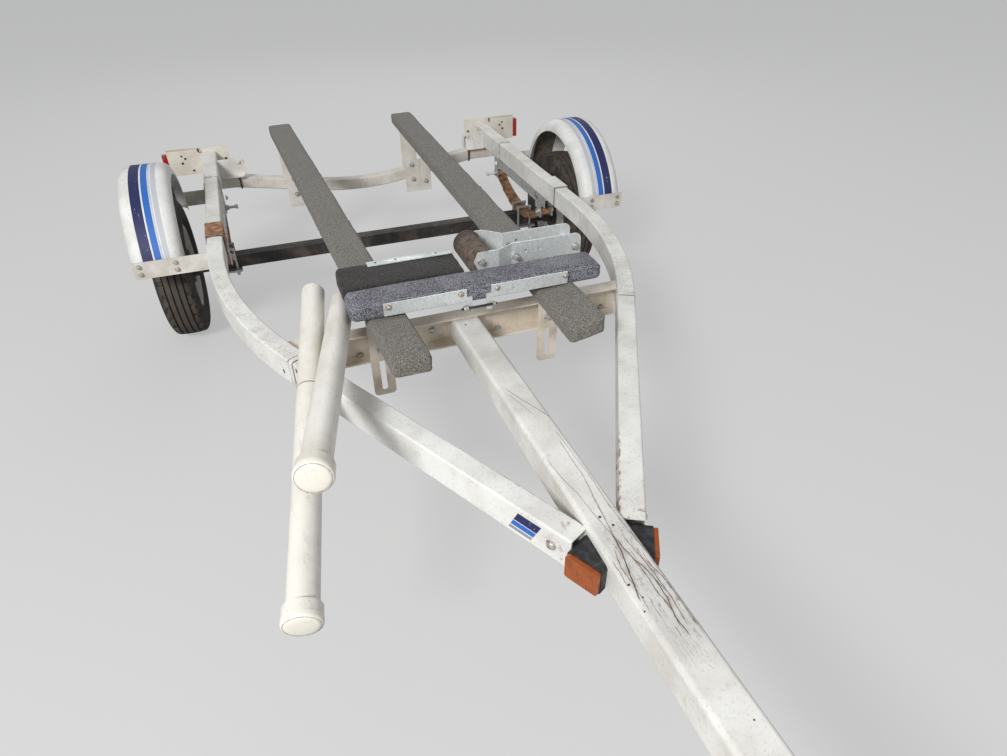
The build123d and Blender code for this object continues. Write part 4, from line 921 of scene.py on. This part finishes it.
def zinc_coat(name, pale, dim, rust_share):
    """Hot-dip zinc gone dull: broad flakes, chalky patches and a little rust where it has worn."""
    coat = Finish(name, 0.5, 0.45)
    flakes = coat.rise(coat.cells(120.0), 0.05, 0.7)
    chalk = coat.patches(0.4, 0.7, 14.0, 6.0)
    coat.colour(coat.over(flakes, dim, pale))
    coat.mark(chalk, (0.50, 0.525, 0.51), 0.55)
    coat.mark(coat.patches(0.70 - rust_share, 0.82 - rust_share, 70.0, 6.0), (0.30, 0.22, 0.15), 0.6)
    coat.gloss(chalk, 0.42, 0.66)
    coat.relief(coat.cloud(300.0, 4.0), 0.0004, 0.35)
    return coat


zinc_coat("galvanised", (0.74, 0.77, 0.76), (0.60, 0.635, 0.625), 0.08).on("pad_angles", "roller_arm")

# the strip lies flat on the rear pad's far edge and has three holes
strip_length, strip_width, strip_depth = 0.240, 0.026, 0.003
strip_low_y = high.y - strip_width
mesh = bmesh.new()
bmesh.ops.create_cube(mesh, size=1.0)
bmesh.ops.scale(mesh, vec=(strip_length, strip_width, strip_depth), verts=mesh.verts)
rounded(mesh, mesh.edges[:], 0.0008, 2)
bmesh.ops.translate(mesh, vec=(-0.122, strip_low_y + 0.010, high.z + strip_depth), verts=mesh.verts)
zinc = zinc_coat("strip_zinc", (0.74, 0.77, 0.76), (0.60, 0.635, 0.625), 0.10)
across, along, _ = zinc.axes()
bored = zinc.spots(across, along, [(x, strip_low_y + 0.012, 0.0036) for x in (-0.2183, -0.1629, -0.05)])
zinc.mark(bored, (0.02, 0.018, 0.016))
finished(mesh, "rear_pad_strip", zinc)

# round-headed bolts, rusty round their edges, hold the two strips to the front pad
round_head = mottled("rusty_round_head", 0.55, 0.6, (0.56, 0.52, 0.45), (0.27, 0.17, 0.11),
                     (0.48, 0.64, 260.0, 4.0), (800.0, 4.0, 0.0003, 0.5))
strip_low, strip_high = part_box("pad_angles")
strip_face_y = strip_low.y
mesh = bmesh.new()
for x in (-0.234, -0.048, 0.049, 0.241):
    seat = Vector((x, strip_face_y, strip_high.z - 0.011))
    disc(mesh, tipped(seat + Vector((0, -0.0005, 0)), "X"), 0.0085, 0.0014, 24, 0.0080)
    dome_head(mesh, seat + Vector((0, -0.001, 0)), (0, -1, 0), 0.0056, 0.0038)
finished(mesh, "pad_strip_bolts", round_head)

# The bolt that ties the two strips' ears together: laid level along the front pad's face, with a zinc nut and
# washer at each ear. Its shaft is painted near black as painted shade between the ears.
ear_bolt = Vector((-0.002, strip_face_y - 0.0042, strip_low.z + 0.016))
mesh = bmesh.new()
disc(mesh, tipped(ear_bolt, "Y"), 0.0032, 0.096, 16)
finished(mesh, "ear_bolt", axle_black)
zinc_bolts("ear_bolt_nuts", [((-0.034, ear_bolt.y, ear_bolt.z), (-1, 0, 0), 0.0155, 0.009, 0.0100),
                             ((0.034, ear_bolt.y, ear_bolt.z), (1, 0, 0), 0.0120, 0.006, 0.0075)])

# Roller: brown moulded rubber with fine ribs, dusty, and darker at its far end. It turns on a bolt
# between the two galvanised bars of the roller arm.
rubber = Finish("roller_rubber", 0.7)
grime = rubber.patches(0.4, 0.66, 60.0, 6.0, 0.7)
rubber.colour(rubber.over(grime, (0.17, 0.13, 0.10), (0.07, 0.052, 0.042)))
far_end = rubber.rise(rubber.axes()[1], 0.462, 0.486)
rubber.mark(far_end, (0.045, 0.035, 0.03), 0.7)
rubber.relief(rubber.cloud(380.0), 0.0006, 0.5)
rubber.on("roller")

arm_low, arm_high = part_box("roller_arm")
roller_low, roller_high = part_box("roller")
pin_x, pin_z = (roller_low.x + roller_high.x) / 2, (roller_low.z + roller_high.z) / 2
arm_z = (arm_low.z + arm_high.z) / 2
outer_x, bend_x, bar_near_y, bar_far_y = 0.335, 0.154, 0.402, 0.478
near, far = (0, -1, 0), (0, 1, 0)
# at the ears, at the bars' outer end, and at their bend
zinc_bolts("roller_arm_bolts", [
    ((pin_x, arm_low.y + 0.008, pin_z), near, 0.017, 0.010, 0.0105),
    ((pin_x, arm_high.y - 0.008, pin_z), far, 0.020, 0.009, 0.0135),
    ((outer_x, bar_near_y, arm_z), near, 0.018, 0.008, 0.0125),
    ((outer_x, bar_far_y, arm_z), far, 0.018, 0.008, 0.0125),
    ((bend_x, bar_near_y, arm_z), near, 0.016, 0.016, 0.0105),
    ((bend_x, bar_far_y, arm_z), far, 0.016, 0.012, 0.0105)])

# Guide poles: white drain pipe with glued caps, lying loose on the frame. The pipe has yellowed a
# little and carries scuffs, long scratches and dark specks.
pipe = Finish("pipe_white", 0.42)
scuffs = pipe.rise(pipe.cloud(1.0, 7.0, 0.75, pipe.turned(stretch=(60, 9, 60))), 0.52, 0.72)
pipe.colour(pipe.over(pipe.patches(0.4, 0.7, 6.0), (0.78, 0.755, 0.69), (0.68, 0.645, 0.56)))
pipe.mark(scuffs, (0.34, 0.31, 0.27), 0.34)
scratch = pipe.cloud(1.0, 3.0, 0.6, pipe.turned(turn=(0.15, 0, 0.2), stretch=(30, 210, 30)))
scratch = pipe.both(pipe.rise(pipe.offset(scratch, 0.5), 0.010, 0.003), pipe.patches(0.50, 0.62, 8.0))
pipe.mark(scratch, (0.26, 0.24, 0.21), 0.35)
specks = pipe.patches(0.66, 0.73, 150.0, 3.0)
pipe.mark(specks, (0.14, 0.12, 0.095), 0.55)
# a dark ring is drawn round the outer pole where two lengths of pipe meet
pole_far, pole_near = Vector((-0.392, 0.509, 0.616)), Vector((-0.556, -0.419, 0.480))
pole_way = (pole_near - pole_far).normalized()
along_pole = pipe.add("VectorMath", operation="DOT_PRODUCT")
pipe.feed(along_pole.inputs[0], pipe.place)
pipe.feed(along_pole.inputs[1], pole_way)
ring_at = pole_far.lerp(pole_near, 0.40).dot(pole_way)
ring = pipe.rise(pipe.offset(along_pole.outputs["Value"], ring_at), 0.0026, 0.0010)
ring = pipe.both(ring, pipe.rise(pipe.axes()[2], 0.610, 0.600))
pipe.mark(ring, (0.11, 0.09, 0.075), 0.75)
pipe.gloss(scuffs, 0.40, 0.62)
pipe.relief(pipe.cloud(340.0), 0.0003, 0.3)
pipe.on("guide_pole_outer", "guide_pole_inner")

# Domed ends of the poles' caps: cream plastic with a rounded rim, a fine moulded line inside it where
# dirt has settled, and a slightly grainy middle.
cream = Finish("cap_cream", 0.5)
cap_grain = cream.patches(0.50, 0.70, 120.0, 5.0, 0.7)
cream.colour(cream.over(cap_grain, (0.78, 0.75, 0.66), (0.52, 0.48, 0.38), 0.35))
cream.relief(cream.cloud(150.0, 3.0), 0.0010, 0.4)
cap_dirt = mottled("cap_dirt", 0.8, 0.0, (0.20, 0.165, 0.125), (0.50, 0.46, 0.38), (0.36, 0.66, 110.0, 4.0))
# radius, how far past the pole's end: the cap's outside, and the line sunk in it
cap_profile = ((0.0374, -0.0060), (0.0374, 0.0005), (0.0368, 0.0036), (0.0350, 0.0060), (0.0338, 0.0066),
               (0.0330, 0.0054), (0.0322, 0.0068), (0.0260, 0.0086), (0.0160, 0.0096), (0.0060, 0.0099))
line_profile = ((0.0337, 0.0062), (0.0335, 0.0068), (0.0324, 0.0070), (0.0322, 0.0062))
inner_far, inner_near = Vector((-0.3245, 0.452, 0.603)), Vector((-0.486, -0.268, 0.665))
around = 48
angles = [2 * pi * step / around for step in range(around)]
for name, profile, finish, closed in (("pole_cap_ends", cap_profile, cream, True),
                                      ("pole_cap_lines", line_profile, cap_dirt, False)):
    mesh = bmesh.new()
    for far, near in ((pole_far, pole_near), (inner_far, inner_near)):
        place = Matrix.Translation(near) @ (near - far).to_track_quat("Z", "Y").to_matrix().to_4x4()
        rings = []
        for radius, past in profile:
            points = [place @ Vector((radius * cos(a), radius * sin(a), past)) for a in angles]
            rings.append([mesh.verts.new(point) for point in points])
        if closed:
            mesh.faces.new(rings[-1])
            mesh.faces.new(rings[0][::-1])
        else:
            rings.append(rings[0])
        for first, second in zip(rings, rings[1:]):
            join_rings(mesh, first, second)
    finished(mesh, name, finish, 50)

# Side lamps: black plastic boxes, finished above, between the arms' ends and the tongue. Each has an
# amber lens with fine upright ribs.
lens("amber_lens", (0.36, 0.078, 0.002), (0.30, 0.060, 0.002), (0.10, 0.024, 0.003), 210,
     (0, 0, arm_turn)).on("side_lenses")

# Tongue jack, coupler and latch: the jack and the latch are zinc-plated steel, flaked and rusty in
# places, the coupler is a white painted pressing, and the jack's caster has a black plastic wheel.
zinc = Finish("jack_zinc", 0.35, 0.85)
zinc.colour(zinc.over(zinc.rise(zinc.cells(180.0), 0.1, 0.8), (0.60, 0.61, 0.60), (0.72, 0.73, 0.72)))
jack_rust = zinc.patches(0.56, 0.72, 34.0, 7.0, 0.7)
zinc.mark(jack_rust, (0.27, 0.15, 0.09), 0.8)
zinc.gloss(jack_rust, 0.32, 0.8)
zinc.relief(zinc.cloud(420.0), 0.0003, 0.35)
zinc.on("jack_tube", "jack_crank", "jack_leg", "jack_caster", "jack_bracket", "coupler_latch")
outdoor_paint("coupler_paint", (0.72, 0.71, 0.67), (0.52, 0.50, 0.45), 0.3).on("coupler")
mottled("jack_black", 0.55, 0.0, (0.022, 0.022, 0.023), (0.09, 0.078, 0.064),
        (0.42, 0.7, 40.0, 6.0), (500.0, 4.0, 0.0004, 0.4)).on("jack_wheel")

# Studio: a plain pale floor, a soft key from the upper left, a wide fill and an even pale sky. The
# camera sees the floor paler than it lights the trailer, and so evenly that its far end stays light.
bpy.ops.mesh.primitive_plane_add(size=60, location=(0, 0, -0.0005))
floor = bpy.context.object
floor.name = "studio_floor"
pale_floor = Finish("studio_floor", 0.9)
pale_floor.colour((0.42, 0.42, 0.415))
diffuse = pale_floor.joined("BsdfDiffuse", (0.25, 0.25, 0.248))
glow = pale_floor.joined("Emission", (0.40, 0.40, 0.397))
seen_floor = pale_floor.joined("AddShader", diffuse, glow)
from_camera = pale_floor.add("LightPath").outputs["Is Camera Ray"]
floor_mix = pale_floor.joined("MixShader", from_camera, pale_floor.shader.outputs[0], seen_floor)
pale_floor.feed(pale_floor.tree.nodes["Material Output"].inputs["Surface"], floor_mix)
floor.data.materials.append(pale_floor.material)

world = bpy.data.worlds.new("studio_sky")
bpy.context.scene.world = world
world.use_nodes = True
sky = world.node_tree
back_light = sky.nodes["Background"]
back_light.inputs["Color"].default_value = (0.93, 0.95, 1.0, 1)
back_light.inputs["Strength"].default_value = 0.38
seen = sky.nodes.new("ShaderNodeBackground")
seen.inputs["Color"].default_value = (0.50, 0.50, 0.497, 1)
seen.inputs["Strength"].default_value = 1.0
path = sky.nodes.new("ShaderNodeLightPath")
either = sky.nodes.new("ShaderNodeMath")
either.operation = "MAXIMUM"
chosen = sky.nodes.new("ShaderNodeMixShader")
for source, target in ((path.outputs["Is Camera Ray"], either.inputs[0]),
                       (path.outputs["Is Transmission Ray"], either.inputs[1]),
                       (either.outputs[0], chosen.inputs[0]),
                       (back_light.outputs[0], chosen.inputs[1]),
                       (seen.outputs[0], chosen.inputs[2]),
                       (chosen.outputs[0], sky.nodes["World Output"].inputs["Surface"])):
    sky.links.new(source, target)

for name, place, aim, size, power in (
        ("key_light", (-3.7, -3.6, 4.3), (0, 0.3, 0.5), 1.6, 410),
        ("fill_light", (4.5, -3.5, 3.5), (0, 0.3, 0.5), 4.0, 40),
        ("back_light", (1.0, 5.5, 4.0), (0, 0.5, 0.5), 3.5, 60)):
    lamp = bpy.data.lights.new(name, "AREA")
    lamp.size = size
    lamp.energy = power
    light = bpy.data.objects.new(name, lamp)
    bpy.context.collection.objects.link(light)
    light.location = place
    light.rotation_euler = (Vector(aim) - Vector(place)).to_track_quat("-Z", "Y").to_euler()

# Camera at the photograph's place, height and angle, with the photograph's field of view. It looks
# down on the trailer from its front, a little to the left, and is tipped a third of a degree.
lens_data = bpy.data.cameras.new("photo_view")
lens_data.sensor_width = 36.0
focal_pixels, picture_width = 675.75, 1007
lens_data.lens = focal_pixels / picture_width * lens_data.sensor_width
lens_data.clip_start = 0.02
camera = bpy.data.objects.new("photo_view", lens_data)
bpy.context.collection.objects.link(camera)
yaw, pitch, roll = radians(20.25), radians(35.7), radians(0.35)
camera.matrix_world = (Matrix.Translation((-0.4714, -1.1910, 1.4926)) @ Matrix.Rotation(-yaw, 4, "Z") @
                       Matrix.Rotation(pi / 2 - pitch, 4, "X") @ Matrix.Rotation(-roll, 4, "Z"))
bpy.context.scene.camera = camera
bpy.context.scene.view_settings.view_transform = "Standard"
